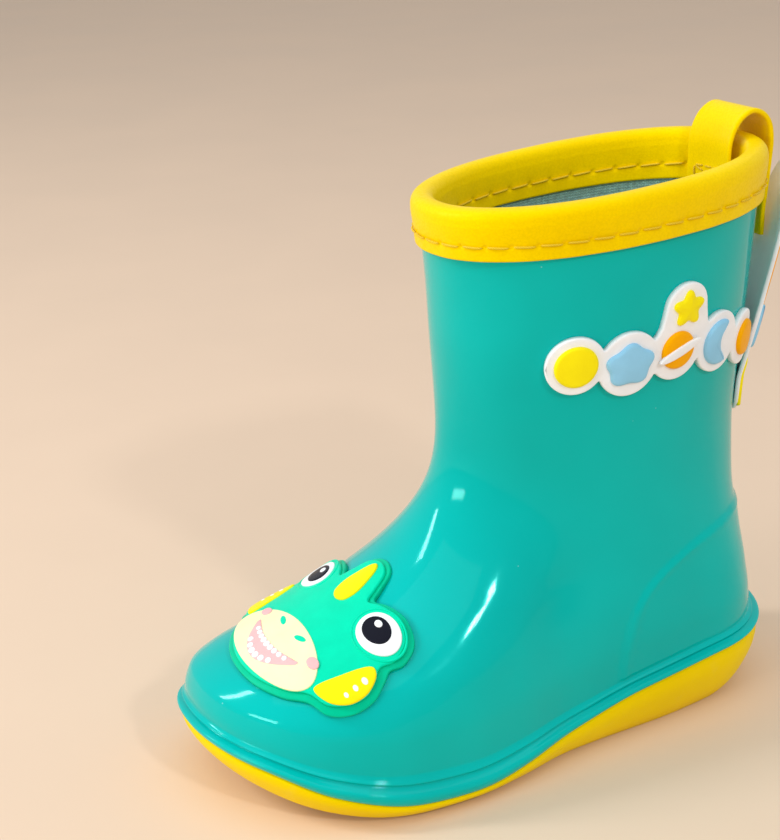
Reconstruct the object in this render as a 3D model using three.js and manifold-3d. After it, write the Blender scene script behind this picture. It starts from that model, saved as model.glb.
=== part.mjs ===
// A child's rubber rain boot for the left foot, as separate closed solids. Millimetres, +Z up.
// The toe points along -Y, the outer (lateral) side is +X, and the sole rests on Z = 0.
//
// The boot's wall is described by levels: a level is a height above the floor that bends with
// the sole near the ground and tilts with the collar near the top. At each level the outline is
// a foot shape joined softly to a leg shape, and each layer is that outline moved in or out.
import * as THREE from 'three';
import { mergeVertices } from 'three/addons/utils/BufferGeometryUtils.js';
import Module from 'manifold-3d';

const wasm = await Module();
wasm.setup();

// ---------------------------------------------------------------- driving dimensions
const GAP = 0.3;
const RING_POINTS = 64;
const SHELL_THICKNESS = 1.8;
const LINING_THICKNESS = 1;
const SEAM_LEVEL = 10;
const LIP_THICKNESS = 1.8;
const LIP_WIDTH = 9;
const RIM_LEVEL = 150;
const COLLAR_THICKNESS = 1.4;
const COLLAR_LOW_LEVEL = 140;
const COLLAR_TOP_LEVEL = 153.4;
const STITCH_LEVEL = 144;
const THREAD_RADIUS = 0.4;
const INSOLE_THICKNESS = 3;
const COVER_THICKNESS = 0.8;
const TREAD_DEPTH = 1.8;
const TREAD_GROOVE = 2.4;
const STRAP_WIDTH = 18;
const STRAP_THICKNESS = 1.5;
const COLLAR_TILT = 0.07;
const ANKLE_CENTRE_Y = 10;

// ---------------------------------------------------------------- colours
const teal = { color: 0x00a396, roughness: 0.18, metalness: 0 };
const soleYellow = { color: 0xf5c600, roughness: 0.55, metalness: 0 };
const bandYellow = { color: 0xfad200, roughness: 0.45, metalness: 0 };
const threadYellow = { color: 0xd9a800, roughness: 0.7, metalness: 0 };
const knit = { color: 0x5aa0a0, roughness: 0.95, metalness: 0 };
const foam = { color: 0xd8dcd8, roughness: 0.9, metalness: 0 };
const darkMint = { color: 0x00cd9b, roughness: 0.4, metalness: 0 };
const mint = { color: 0x00e1b4, roughness: 0.4, metalness: 0 };
const cream = { color: 0xfffdc8, roughness: 0.4, metalness: 0 };
const pink = { color: 0xfabebe, roughness: 0.4, metalness: 0 };
const white = { color: 0xf7f9fb, roughness: 0.4, metalness: 0 };
const black = { color: 0x1a1b1f, roughness: 0.35, metalness: 0 };
const lemon = { color: 0xfff01e, roughness: 0.4, metalness: 0 };
const skyBlue = { color: 0x96d2f0, roughness: 0.4, metalness: 0 };
const orange = { color: 0xffb400, roughness: 0.4, metalness: 0 };

// ---------------------------------------------------------------- small maths
function clamp(value, low, high) {
  return Math.min(high, Math.max(low, value));
}

// A smooth curve through [x, y] points that never overshoots them (monotone cubic).
function curve(points) {
  const last = points.length - 1;
  const step = [];
  const slope = [];
  for (let i = 0; i < last; i += 1) {
    step.push(points[i + 1][0] - points[i][0]);
    slope.push((points[i + 1][1] - points[i][1]) / step[i]);
  }
  const tangent = new Array(last + 1).fill(0);
  for (let i = 1; i < last; i += 1) {
    if (slope[i - 1] * slope[i] > 0) {
      const before = 2 * step[i] + step[i - 1];
      const after = step[i] + 2 * step[i - 1];
      tangent[i] = (before + after) / (before / slope[i - 1] + after / slope[i]);
    }
  }
  tangent[0] = slope[0];
  tangent[last] = slope[last - 1];
  return (x) => {
    const at = clamp(x, points[0][0], points[last][0]);
    let i = 0;
    while (i < last - 1 && at > points[i + 1][0]) {
      i += 1;
    }
    const t = (at - points[i][0]) / step[i];
    const rise = points[i + 1][1] - points[i][1];
    const start = tangent[i] * step[i];
    const end = tangent[i + 1] * step[i];
    const blend = t * t * (3 - 2 * t);
    return points[i][1] + rise * blend + start * t * (1 - t) * (1 - t) - end * t * t * (1 - t);
  };
}

// ---------------------------------------------------------------- the boot's wall
// Side view: how far forward and back the wall reaches at each level.
const frontEdge = curve([
  [10, -107], [18, -108], [25, -106.5], [31, -101.5], [37, -92], [43, -79], [50, -64.5],
  [57, -52], [64, -44], [73, -39], [85, -37], [98, -36.5], [126, -37], [142, -38], [158, -39.5],
]);
const backEdge = curve([
  [10, 57.5], [20, 57.5], [35, 56], [50, 53.8], [65, 52.2], [80, 52.2], [100, 53.8],
  [120, 55.5], [142, 57], [158, 58],
]);
// Top view of the leg: half its width, and how far its front lies behind the front edge.
const legHalfWidth = curve([
  [10, 25], [40, 25], [60, 25.2], [80, 26], [100, 27.5], [120, 29], [142, 30.3], [158, 31],
]);
const legInset = curve([
  [10, 72], [30, 60], [45, 44], [60, 24], [72, 11], [84, 3.5], [96, 0], [158, 0],
]);
// Top view of the foot: half its width along the foot, how much of it is left at a level,
// and how long the rounded toe end is.
const footHalfWidth = curve([
  [-60, 35.8], [-50, 35.8], [-33, 34], [-15, 30], [10, 27], [34, 26.6], [60, 26.6],
]);
const footShare = curve([
  [10, 1], [26, 1], [36, 0.96], [46, 0.88], [56, 0.79], [66, 0.68], [78, 0.54], [92, 0.34],
  [108, 0.13], [125, 0], [158, 0],
]);
const toeLength = curve([[10, 56], [30, 54], [50, 50], [70, 45], [90, 42], [158, 40]]);
const HEEL_ROUND_LENGTH = 24;
// Height of the seam between upper and sole along the foot, and how far up the wall follows it.
const seamHeight = curve([
  [-112, 17], [-100, 13.5], [-85, 9.5], [-65, 6], [-45, 4.6], [-20, 6.5], [5, 10], [35, 13.5],
  [62, 15.4],
]);
const seamFollow = curve([[10, 1], [20, 0.95], [35, 0.6], [55, 0.12], [70, 0], [158, 0]]);
// The welt is squeezed between that wall and a seam that rides higher at the heel and toe.
const seamLift = curve([
  [-112, 2.5], [-100, 2.6], [-85, 0.7], [-65, -0.5], [-45, 0.2], [-20, 2.8], [5, 4.7], [35, 5.2],
  [62, 5.2],
]);
const liftFollow = curve([[10, 1], [20, 0.1], [24, 0], [158, 0]]);
// Underside of the sole: flat from heel to ball, with the toe sprung up.
const groundHeight = curve([[-112, 9.5], [-100, 5.8], [-85, 2.2], [-72, 0.4], [-62, 0], [62, 0]]);

// The foot's centre line bends towards the inner side at the toe.
function centreX(y) {
  const bend = clamp((-62 - y) / 48, 0, 1);
  return 1.2 - 10 * bend * bend;
}

function roundedEnd(t, n, m) {
  return Math.pow(Math.max(0, 1 - Math.pow(1 - clamp(t, 0, 1), n)), 1 / m);
}

function halfWidth(y, level) {
  const front = frontEdge(level);
  const back = backEdge(level);
  const toeEnd = roundedEnd((y - front) / toeLength(level), 2.5, 2.2);
  const heelEnd = roundedEnd((back - y) / HEEL_ROUND_LENGTH, 2.3, 2.1);
  const foot = footHalfWidth(y) * footShare(level) * toeEnd * heelEnd;
  const legFront = front + legInset(level);
  const away = Math.abs(y - (back + legFront) / 2) / ((back - legFront) / 2);
  const leg = legHalfWidth(level) * Math.pow(Math.max(0, 1 - Math.pow(away, 2.3)), 1 / 2.1);
  return Math.pow(foot ** 6 + leg ** 6, 1 / 6);
}

function heightOf(y, level) {
  const follow = (seamHeight(y) - SEAM_LEVEL) * seamFollow(level) + seamLift(y) * liftFollow(level);
  const tilt = COLLAR_TILT * (y - ANKLE_CENTRE_Y) * clamp((level - 95) / 60, 0, 1);
  return level + follow + tilt;
}

// A point of the outer wall. Angle 0 is the back, a quarter turn is the lateral side.
function wallPoint(level, angle) {
  const front = frontEdge(level);
  const back = backEdge(level);
  const y = (front + back) / 2 + ((back - front) / 2) * Math.cos(angle);
  const side = Math.sin(angle) < 0 ? -1 : 1;
  const onEnd = Math.abs(Math.sin(angle)) < 1e-9;
  const x = centreX(y) + (onEnd ? 0 : side * halfWidth(y, level));
  return new THREE.Vector3(x, y, heightOf(y, level));
}

function wallNormal(level, angle, flat) {
  const alongRing = wallPoint(level, angle + 0.02).sub(wallPoint(level, angle - 0.02));
  if (flat) {
    return new THREE.Vector3(-alongRing.y, alongRing.x, 0).normalize();
  }
  const upward = wallPoint(level + 0.4, angle).sub(wallPoint(level - 0.4, angle));
  return upward.cross(alongRing).normalize();
}

// The outline at a level, moved outward (or inward when negative) by an offset.
// A flat ring stays on its level, like the edge of a floor; otherwise the move is square
// to the wall.
function ring(level, offset, flat = false) {
  const points = [];
  for (let i = 0; i < RING_POINTS; i += 1) {
    const angle = (2 * Math.PI * i) / RING_POINTS;
    const point = wallPoint(level, angle);
    const distance = typeof offset === 'function' ? offset(point.y) : offset;
    point.addScaledVector(wallNormal(level, angle, flat), distance);
    if (flat) {
      point.z = heightOf(point.y, level);
    }
    points.push(point);
  }
  return points;
}

// A ring of the floor inside the boot, whose height counts up from the seam.
function floorRing(level, offset) {
  return ring(level, offset, true).map((point) => (
    point.setZ(heightOf(point.y, SEAM_LEVEL) + level - SEAM_LEVEL)));
}

// ---------------------------------------------------------------- solids from rings
function signedVolume(points, triangles) {
  let sum = 0;
  const cross = new THREE.Vector3();
  for (const [a, b, c] of triangles) {
    sum += points[a].dot(cross.crossVectors(points[b], points[c]));
  }
  return sum / 6;
}

function solid(points, triangles) {
  const outward = signedVolume(points, triangles) > 0;
  const geometry = new THREE.BufferGeometry();
  const flat = points.flatMap((point) => point.toArray());
  const order = triangles.flatMap(([a, b, c]) => (outward ? [a, b, c] : [a, c, b]));
  geometry.setAttribute('position', new THREE.Float32BufferAttribute(flat, 3));
  geometry.setIndex(order);
  geometry.computeVertexNormals();
  return geometry;
}

// Joins rings of equal length. A closed loft joins the last ring to the first, as in a tyre.
// An open one is closed at both ends by strips between points that face each other.
function loft(rings, closed) {
  const count = rings[0].length;
  const triangles = [];
  const bands = closed ? rings.length : rings.length - 1;
  for (let band = 0; band < bands; band += 1) {
    const low = band * count;
    const high = ((band + 1) % rings.length) * count;
    for (let i = 0; i < count; i += 1) {
      const next = (i + 1) % count;
      triangles.push([low + i, low + next, high + next], [low + i, high + next, high + i]);
    }
  }
  if (!closed) {
    const end = (rings.length - 1) * count;
    for (let i = 0; i < count / 2; i += 1) {
      const across = (count - i) % count;
      const nextAcross = count - i - 1;
      if (i > 0) {
        triangles.push([i + 1, i, across], [end + i, end + i + 1, end + across]);
      }
      if (nextAcross > i + 1) {
        triangles.push([i + 1, across, nextAcross], [end + i + 1, end + nextAcross, end + across]);
      }
    }
  }
  return solid(rings.flat(), triangles);
}

// ---------------------------------------------------------------- upper, lining and footbed
// The moulded welt at the bottom of the upper: a rounded bead, a groove and a fine ridge.
const WELT_TOP = 19.5;
const weltProfile = curve([
  [10, 2.5], [10.8, 3], [11.9, 3.2], [13, 2.8], [13.9, 1.6], [14.6, 0.9], [15.3, 1.3], [16.2, 0.5],
  [17.4, 0], [WELT_TOP, 0],
]);
// Below this level the rings inside the boot belong to its floor.
const FLOOR_TOP = 19.5;

function innerRing(level, offset) {
  return level < FLOOR_TOP ? floorRing(level, offset) : ring(level, offset);
}

function upperShell() {
  const wall = [10, 10.8, 11.9, 13, 13.9, 14.6, 15.3, 16.4, 18, 20, 24, 28, 32, 36, 40, 45, 50, 55,
    60, 66, 73, 82, 94, 108, 124, 138, RIM_LEVEL];
  const inside = [RIM_LEVEL, 136, 118, 100, 85, 73, 64, 56, 49, 43, 37, 31, 25, 18,
    SEAM_LEVEL + LIP_THICKNESS];
  const rings = wall.map((level) => ring(level, weltProfile(level), level < WELT_TOP));
  rings.push(...inside.map((level) => innerRing(level, -SHELL_THICKNESS)));
  rings.push(floorRing(SEAM_LEVEL + LIP_THICKNESS, -LIP_WIDTH));
  rings.push(floorRing(SEAM_LEVEL, -LIP_WIDTH));
  return loft(rings, true);
}

function liningSock() {
  const wall = [18, 25, 31, 37, 43, 49, 56, 64, 73, 85, 100, 118, 136, RIM_LEVEL];
  const outside = -SHELL_THICKNESS - GAP;
  const inside = outside - LINING_THICKNESS;
  const floor = SEAM_LEVEL + LIP_THICKNESS + GAP;
  const rings = [floorRing(floor + LINING_THICKNESS, inside)];
  rings.push(...wall.map((level) => innerRing(level, inside)));
  rings.push(...wall.toReversed().map((level) => innerRing(level, outside)));
  rings.push(floorRing(floor, outside));
  return loft(rings, false);
}

function insoleLayer(low, thickness) {
  const inset = -SHELL_THICKNESS - LINING_THICKNESS - 3 * GAP;
  return loft([floorRing(low, inset), floorRing(low + thickness, inset)], false);
}

// ---------------------------------------------------------------- sole
// Side of the sole from its top edge (0) to the floor (1), and how much more it tucks in.
const soleSide = curve([[0, 2.4], [0.2, 2.6], [0.6, 1.4], [0.85, 0], [1, -1.6]]);
const soleTuck = curve([[-112, 5], [-90, 2], [-60, 1], [5, 1], [35, 2.5], [58, 6]]);

function soleRing(down) {
  const top = SEAM_LEVEL - GAP;
  const offset = (y) => soleSide(down) - soleTuck(y) * down * down;
  return floorRing(top, offset).map((point) => {
    const floor = groundHeight(point.y);
    return new THREE.Vector3(point.x, point.y, THREE.MathUtils.lerp(point.z, floor, down));
  });
}

function toManifold(geometry) {
  const bare = new THREE.BufferGeometry();
  bare.setAttribute('position', geometry.getAttribute('position').clone());
  if (geometry.index) {
    bare.setIndex(geometry.index.clone());
  }
  const merged = mergeVertices(bare, 1e-4);
  return new wasm.Manifold(new wasm.Mesh({
    numProp: 3,
    vertProperties: new Float32Array(merged.getAttribute('position').array),
    triVerts: new Uint32Array(merged.index.array),
  }));
}

function fromManifold(body) {
  const mesh = body.getMesh();
  const geometry = new THREE.BufferGeometry();
  geometry.setAttribute('position', new THREE.Float32BufferAttribute(mesh.vertProperties, 3));
  geometry.setIndex(Array.from(mesh.triVerts));
  geometry.computeVertexNormals();
  return geometry;
}

// One wavy groove across the tread. It stops short of the sole's sides.
function treadGroove(y) {
  const reach = halfWidth(y, SEAM_LEVEL) - 9;
  const middle = centreX(y);
  const crest = (x) => y + 2 * Math.cos((x / 9) * Math.PI);
  const near = [];
  const far = [];
  for (let x = -reach; x <= reach + 1e-6; x += reach / 6) {
    near.push(new THREE.Vector2(middle + x, crest(x) - TREAD_GROOVE / 2));
    far.unshift(new THREE.Vector2(middle + x, crest(x) + TREAD_GROOVE / 2));
  }
  const depth = 1 + groundHeight(y) + TREAD_DEPTH;
  const outline = new THREE.Shape([...near, ...far]);
  return new THREE.ExtrudeGeometry(outline, { depth, bevelEnabled: false }).translate(0, 0, -1);
}

function outsole() {
  const plateau = SEAM_LEVEL + LIP_THICKNESS - GAP;
  const inner = -LIP_WIDTH - 2 * GAP;
  const rings = [floorRing(plateau, inner), floorRing(SEAM_LEVEL - GAP, inner)];
  rings.push(...[0, 0.2, 0.45, 0.7, 0.88, 1].map(soleRing));
  let body = toManifold(loft(rings, false));
  const grooves = [-86, -77, -68, -59, -50, -41, -32, -23, 14, 23, 32, 41];
  for (const y of grooves) {
    body = body.subtract(toManifold(treadGroove(y)));
  }
  return fromManifold(body);
}

// ---------------------------------------------------------------- collar and threads
const COLLAR_OUTER = GAP + COLLAR_THICKNESS;
const COLLAR_INNER = -SHELL_THICKNESS - LINING_THICKNESS - 2 * GAP - COLLAR_THICKNESS;

function collarBinding() {
  const tuck = RIM_LEVEL + 1;
  const section = [
    [GAP, COLLAR_LOW_LEVEL], [COLLAR_OUTER - 0.3, COLLAR_LOW_LEVEL],
    [COLLAR_OUTER, COLLAR_LOW_LEVEL + 0.6], [COLLAR_OUTER, 150.4], [COLLAR_OUTER - 0.8, 152.4],
    [COLLAR_OUTER - 2.3, COLLAR_TOP_LEVEL], [COLLAR_INNER + 2.3, COLLAR_TOP_LEVEL],
    [COLLAR_INNER + 0.8, 152.4], [COLLAR_INNER, 150.4], [COLLAR_INNER, COLLAR_LOW_LEVEL + 0.6],
    [COLLAR_INNER + 0.3, COLLAR_LOW_LEVEL], [COLLAR_INNER + COLLAR_THICKNESS, COLLAR_LOW_LEVEL],
    [COLLAR_INNER + COLLAR_THICKNESS, RIM_LEVEL], [COLLAR_INNER + COLLAR_THICKNESS + 0.9, tuck],
    [GAP - 0.9, tuck], [GAP, RIM_LEVEL],
  ];
  return loft(section.map(([offset, level]) => ring(level, offset)), true);
}

// A thread laid around the collar, as a thin closed hoop.
function collarThread(offset) {
  const sides = 5;
  const rings = [];
  for (let i = 0; i < sides; i += 1) {
    const turn = (2 * Math.PI * i) / sides;
    const level = STITCH_LEVEL + THREAD_RADIUS * Math.sin(turn);
    rings.push(ring(level, offset + THREAD_RADIUS * Math.cos(turn)));
  }
  return loft(rings, true);
}

// ---------------------------------------------------------------- pull loop
// The strap's middle line in side view: up the inside, over the collar and down the back.
// Each point is [y, z, bow]: a bow of 1 curves the strap's width like the collar behind it.
const INNER_TAIL = [[49.5, 139, 1], [49.5, 149.4, 1]];
const ARCH = [
  [49.5, 151, 1], [49.2, 154, 0.8], [49.8, 158, 0.5], [51.7, 161.7, 0.2], [55.4, 163.6, 0],
  [59.2, 162, 0], [61.4, 158.2, 0], [61.8, 154, 0], [61.5, 151, 0],
];
const OUTER_TAIL = [[60.9, 149.4, 0], [60.2, 141, 0], [59.8, 129, 0]];
const BOW_RADIUS = 22;

function strap(middleLine) {
  const halfThickness = STRAP_THICKNESS / 2;
  const edge = STRAP_WIDTH / 2;
  const section = [
    [edge - 0.5, halfThickness], [edge, 0], [edge - 0.5, -halfThickness], [0, -halfThickness],
    [-edge + 0.5, -halfThickness], [-edge, 0], [-edge + 0.5, halfThickness], [0, halfThickness],
  ];
  const path = middleLine.map(([y, z]) => new THREE.Vector3(0, y, z));
  const stations = path.map((point, i) => {
    const before = path[Math.max(0, i - 1)];
    const after = path[Math.min(path.length - 1, i + 1)];
    const along = after.clone().sub(before).normalize();
    const across = new THREE.Vector3(0, -along.z, along.y);
    const bow = middleLine[i][2] / (2 * BOW_RADIUS);
    return section.map(([x, out]) => {
      const moved = point.clone().addScaledVector(across, out).setX(x);
      moved.y -= bow * x * x;
      return moved;
    });
  });
  return strapSweep(stations);
}

// Joins the strap's sections, each a loop of eight points, and closes both ends.
function strapSweep(stations) {
  const count = stations[0].length;
  const triangles = [];
  for (let s = 0; s < stations.length - 1; s += 1) {
    for (let i = 0; i < count; i += 1) {
      const a = s * count + i;
      const b = s * count + ((i + 1) % count);
      triangles.push([a, b, b + count], [a, b + count, a + count]);
    }
  }
  const end = (stations.length - 1) * count;
  const endFace = [[0, 2, 1], [0, 3, 2], [0, 7, 3], [7, 4, 3], [7, 6, 4], [6, 5, 4]];
  for (const [a, b, c] of endFace) {
    triangles.push([a, b, c], [end + a, end + c, end + b]);
  }
  return solid(stations.flat(), triangles);
}

// A box of stitching: a thin rectangular hoop of thread standing in the XZ plane.
function tackThread(y, low, high) {
  const reach = STRAP_WIDTH / 2 - 2.5;
  const corners = [[-reach, low], [reach, low], [reach, high], [-reach, high]];
  const middle = (low + high) / 2;
  const rings = [];
  for (const [inward, depth] of [[0, -1], [1, 0], [0, 1], [-1, 0]]) {
    rings.push(corners.map(([x, z]) => new THREE.Vector3(
      x - Math.sign(x) * inward * THREAD_RADIUS,
      y + depth * THREAD_RADIUS,
      z - Math.sign(z - middle) * inward * THREAD_RADIUS,
    )));
  }
  return loft(rings, true);
}

// ---------------------------------------------------------------- thin patches
// A patch is drawn flat in (u, v), and a map lays it on the boot at a distance from the wall.
// This one is drawn around a middle point, as hoops that shrink towards it.
function patch(map, outline, low, high, hoops = 3) {
  const count = outline.length;
  const middle = outline.reduce((sum, [u, v]) => [sum[0] + u / count, sum[1] + v / count], [0, 0]);
  const points = [];
  const triangles = [];
  for (const distance of [high, low]) {
    for (let hoop = hoops; hoop > 0; hoop -= 1) {
      const share = hoop / hoops;
      for (const [u, v] of outline) {
        const at = [middle[0] + (u - middle[0]) * share, middle[1] + (v - middle[1]) * share];
        points.push(map(at[0], at[1], distance));
      }
    }
    points.push(map(middle[0], middle[1], distance));
  }
  const face = hoops * count + 1;
  for (let i = 0; i < count; i += 1) {
    const next = (i + 1) % count;
    triangles.push([i, face + i, face + next], [i, face + next, next]);
    for (let hoop = 0; hoop < hoops - 1; hoop += 1) {
      const a = hoop * count + i;
      const b = hoop * count + next;
      triangles.push([a, b, b + count], [a, b + count, a + count]);
      triangles.push([face + a, face + b + count, face + b]);
      triangles.push([face + a, face + a + count, face + b + count]);
    }
    const inner = (hoops - 1) * count;
    triangles.push([inner + i, inner + next, face - 1]);
    triangles.push([face + inner + i, 2 * face - 1, face + inner + next]);
  }
  return solid(points, triangles);
}

// A patch drawn as a band between a lower and an upper edge, over a range of u.
function bandPatch(map, range, steps, rows, lowerEdge, upperEdge, low, high) {
  const points = [];
  const triangles = [];
  const width = rows + 1;
  const face = (steps + 1) * width;
  for (const distance of [high, low]) {
    for (let i = 0; i <= steps; i += 1) {
      const u = THREE.MathUtils.lerp(range[0], range[1], i / steps);
      for (let j = 0; j <= rows; j += 1) {
        const v = THREE.MathUtils.lerp(lowerEdge(u), upperEdge(u), j / rows);
        points.push(map(u, v, distance));
      }
    }
  }
  const rim = [];
  for (let i = 0; i < steps; i += 1) {
    for (let j = 0; j < rows; j += 1) {
      const a = i * width + j;
      triangles.push([a, a + width, a + width + 1], [a, a + width + 1, a + 1]);
      const b = face + a;
      triangles.push([b, b + width + 1, b + width], [b, b + 1, b + width + 1]);
    }
    rim.push([i * width, (i + 1) * width], [(i + 1) * width + rows, i * width + rows]);
  }
  for (let j = 0; j < rows; j += 1) {
    rim.push([j + 1, j], [steps * width + j, steps * width + j + 1]);
  }
  for (const [a, b] of rim) {
    triangles.push([a, face + a, face + b], [a, face + b, b]);
  }
  return solid(points, triangles);
}

// Flat outlines for patches.
function ellipse(u, v, radiusU, radiusV, count, turn = 0) {
  const centre = new THREE.Vector2(u, v);
  const points = [];
  for (let i = 0; i < count; i += 1) {
    const angle = (2 * Math.PI * i) / count;
    const point = new THREE.Vector2(u + radiusU * Math.cos(angle), v + radiusV * Math.sin(angle));
    points.push(point.rotateAround(centre, turn).toArray());
  }
  return points;
}

// An outline whose radius waves around the middle: deep waves make a star, shallow ones a cloud.
function wavy(u, v, radiusU, radiusV, waves, depth, count, turn = 0) {
  const points = [];
  for (let i = 0; i < count; i += 1) {
    const angle = (2 * Math.PI * i) / count;
    const radius = 1 + depth * Math.cos(waves * (angle - turn));
    points.push([u + radiusU * radius * Math.cos(angle), v + radiusV * radius * Math.sin(angle)]);
  }
  return points;
}

// A fat crescent: a circle with a shallow bite out of its right side.
function crescent(u, v, radius, count) {
  const biteCentre = 0.9 * radius;
  const biteRadius = 0.87 * radius;
  const points = [];
  for (let i = 0; i < count; i += 1) {
    const angle = (2 * Math.PI * i) / count;
    const start = -0.5 * radius;
    const direction = [Math.cos(angle), Math.sin(angle)];
    let reach = 0;
    while (reach < 2 * radius) {
      const x = start + reach * direction[0];
      const y = reach * direction[1];
      if (Math.hypot(x, y) > radius || Math.hypot(x - biteCentre, y) < biteRadius) {
        break;
      }
      reach += 0.05;
    }
    points.push([u + start + reach * direction[0], v + reach * direction[1]]);
  }
  return points;
}

// A smooth closed outline through points given for one side and mirrored in u = 0.
function mirroredOutline(side, count) {
  const half = side.map(([u, v]) => new THREE.Vector3(u, v, 0));
  const other = side.slice(1, -1).reverse().map(([u, v]) => new THREE.Vector3(-u, v, 0));
  const loop = new THREE.CatmullRomCurve3([...half, ...other], true, 'centripetal');
  return loop.getSpacedPoints(count).slice(0, -1).map((point) => [point.x, point.y]);
}

const HORN_SIDE = [[0, 18.8], [2.8, 20], [3.9, 24], [3, 29.5], [1.4, 34], [0, 35.2]];
const BADGE_SIDE = [
  [0, -17], [9, -15.8], [17, -11.8], [22, -7], [27, -4.6], [30, 1], [30.4, 8], [28.6, 13.6],
  [27.3, 16.8], [28, 21], [25.6, 27.4], [19.5, 30.2], [13.4, 28.8], [9.4, 26.8], [7.6, 30.4],
  [4.6, 36.4], [0, 38.2],
];
const FIN_SIDE = [[20.6, -3.6], [25, -2.4], [28, 2], [28.4, 8], [26.4, 13], [24.8, 13.6], [21.9, 5]];

// ---------------------------------------------------------------- laying patches on the boot
// Level of the wall that passes through a height at a place along the foot.
function levelAt(y, z) {
  let level = z;
  for (let i = 0; i < 14; i += 1) {
    level -= heightOf(y, level) - z;
  }
  return clamp(level, SEAM_LEVEL, 158);
}

// Sideways distance from the wall: negative inside the boot.
function beyondWall(point) {
  const level = levelAt(point.y, point.z);
  const front = frontEdge(level);
  const back = backEdge(level);
  if (point.y < front || point.y > back) {
    return Math.max(front - point.y, point.y - back) + Math.abs(point.x - centreX(point.y));
  }
  return Math.abs(point.x - centreX(point.y)) - halfWidth(point.y, level);
}

// The badge is wrapped around a line that runs inside the toe, rising towards the leg.
const BADGE_ORIGIN = new THREE.Vector3(-1, -74, 14);
const BADGE_RISE = THREE.MathUtils.degToRad(24);
const BADGE_RADIUS = 32;
const BADGE_SHIFT = 3.8;
const BADGE_START = 1.74;
const BADGE_STRETCH = 0.873;
const badgeAlong = new THREE.Vector3(0, Math.cos(BADGE_RISE), Math.sin(BADGE_RISE));
const badgeUp = new THREE.Vector3(0, -Math.sin(BADGE_RISE), Math.cos(BADGE_RISE));

function onVamp(u, v, distance) {
  const turn = (u + BADGE_SHIFT) / BADGE_RADIUS;
  const start = BADGE_ORIGIN.clone().addScaledVector(badgeAlong, BADGE_START + BADGE_STRETCH * v);
  const ray = badgeUp.clone().multiplyScalar(Math.cos(turn)).setX(Math.sin(turn));
  let inside = 4;
  let outside = 70;
  for (let i = 0; i < 26; i += 1) {
    const middle = (inside + outside) / 2;
    if (beyondWall(start.clone().addScaledVector(ray, middle)) < 0) {
      inside = middle;
    } else {
      outside = middle;
    }
  }
  const hit = start.addScaledVector(ray, inside - 0.05);
  const reach = 0.3;
  const slope = ['x', 'y', 'z'].map((axis) => {
    const ahead = hit.clone();
    const behind = hit.clone();
    ahead[axis] += reach;
    behind[axis] -= reach;
    return beyondWall(ahead) - beyondWall(behind);
  });
  return hit.addScaledVector(new THREE.Vector3(...slope).normalize(), distance + 0.05);
}

// Distance along the shaft's outline from its lateral side towards the back, against angle.
const SHAFT_LEVEL = 110;
function shaftTable() {
  const pairs = [];
  const step = Math.PI / 720;
  let distance = 0;
  const start = Math.acos((2 * ANKLE_CENTRE_Y - frontEdge(SHAFT_LEVEL) - backEdge(SHAFT_LEVEL))
    / (backEdge(SHAFT_LEVEL) - frontEdge(SHAFT_LEVEL)));
  for (let angle = start; angle > -0.8; angle -= step) {
    pairs.push([distance, angle]);
    distance += wallPoint(SHAFT_LEVEL, angle).distanceTo(wallPoint(SHAFT_LEVEL, angle - step));
  }
  distance = 0;
  for (let angle = start; angle < 2.6; angle += step) {
    distance -= wallPoint(SHAFT_LEVEL, angle).distanceTo(wallPoint(SHAFT_LEVEL, angle + step));
    pairs.unshift([distance, angle + step]);
  }
  return curve(pairs);
}
const shaftAngle = shaftTable();

function onShaft(s, level, distance) {
  const angle = shaftAngle(s);
  return wallPoint(level, angle).addScaledVector(wallNormal(level, angle, false), distance);
}

// The rocket patch is fixed at its foot only, and stands away from the shaft further up.
const ROCKET_S = 52;
const ROCKET_FREE_LEVEL = 92;
const ROCKET_LEAN = 0.165;

function onRocket(u, level, distance) {
  const lean = ROCKET_LEAN * Math.max(0, level - ROCKET_FREE_LEVEL);
  return onShaft(ROCKET_S + u, level, distance + lean);
}

// ---------------------------------------------------------------- assembly
const boot = new THREE.Group();

function add(name, geometry, look) {
  const mesh = new THREE.Mesh(geometry, new THREE.MeshStandardMaterial(look));
  mesh.name = name;
  boot.add(mesh);
}

add('outsole', outsole(), soleYellow);
add('upper_shell', upperShell(), teal);
add('lining_sock', liningSock(), knit);
const insoleLevel = SEAM_LEVEL + LIP_THICKNESS + LINING_THICKNESS + 2 * GAP;
add('insole_foam', insoleLayer(insoleLevel, INSOLE_THICKNESS), foam);
add('insole_cover', insoleLayer(insoleLevel + INSOLE_THICKNESS + GAP, COVER_THICKNESS), knit);

add('collar_binding', collarBinding(), bandYellow);
add('collar_needle_thread', collarThread(COLLAR_OUTER + GAP + THREAD_RADIUS), threadYellow);
add('collar_bobbin_thread', collarThread(COLLAR_INNER - GAP - THREAD_RADIUS), threadYellow);

add('loop_inner_tail', strap(INNER_TAIL), bandYellow);
add('loop_arch', strap(ARCH), bandYellow);
add('loop_outer_tail', strap(OUTER_TAIL), bandYellow);
const threadOut = STRAP_THICKNESS / 2 + GAP + THREAD_RADIUS;
add('loop_inner_tack', tackThread(INNER_TAIL[0][0] - threadOut - 1.1, 140.6, 147.6), threadYellow);
add('loop_outer_tack', tackThread(OUTER_TAIL[0][0] + threadOut + 0.1, 141.6, 148.2), threadYellow);

// Layers of a patch: its base, the raised field, the features, their details and the glints.
const BASE = [0.4, 1.3];
const FIELD = [1.6, 2.2];
const FEATURE = [2.5, 3];
const DETAIL = [3.3, 3.65];
const GLINT = [3.95, 4.25];

function addPatch(name, map, outline, layer, hoops, look) {
  add(name, patch(map, outline, ...layer, hoops), look);
}

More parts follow.
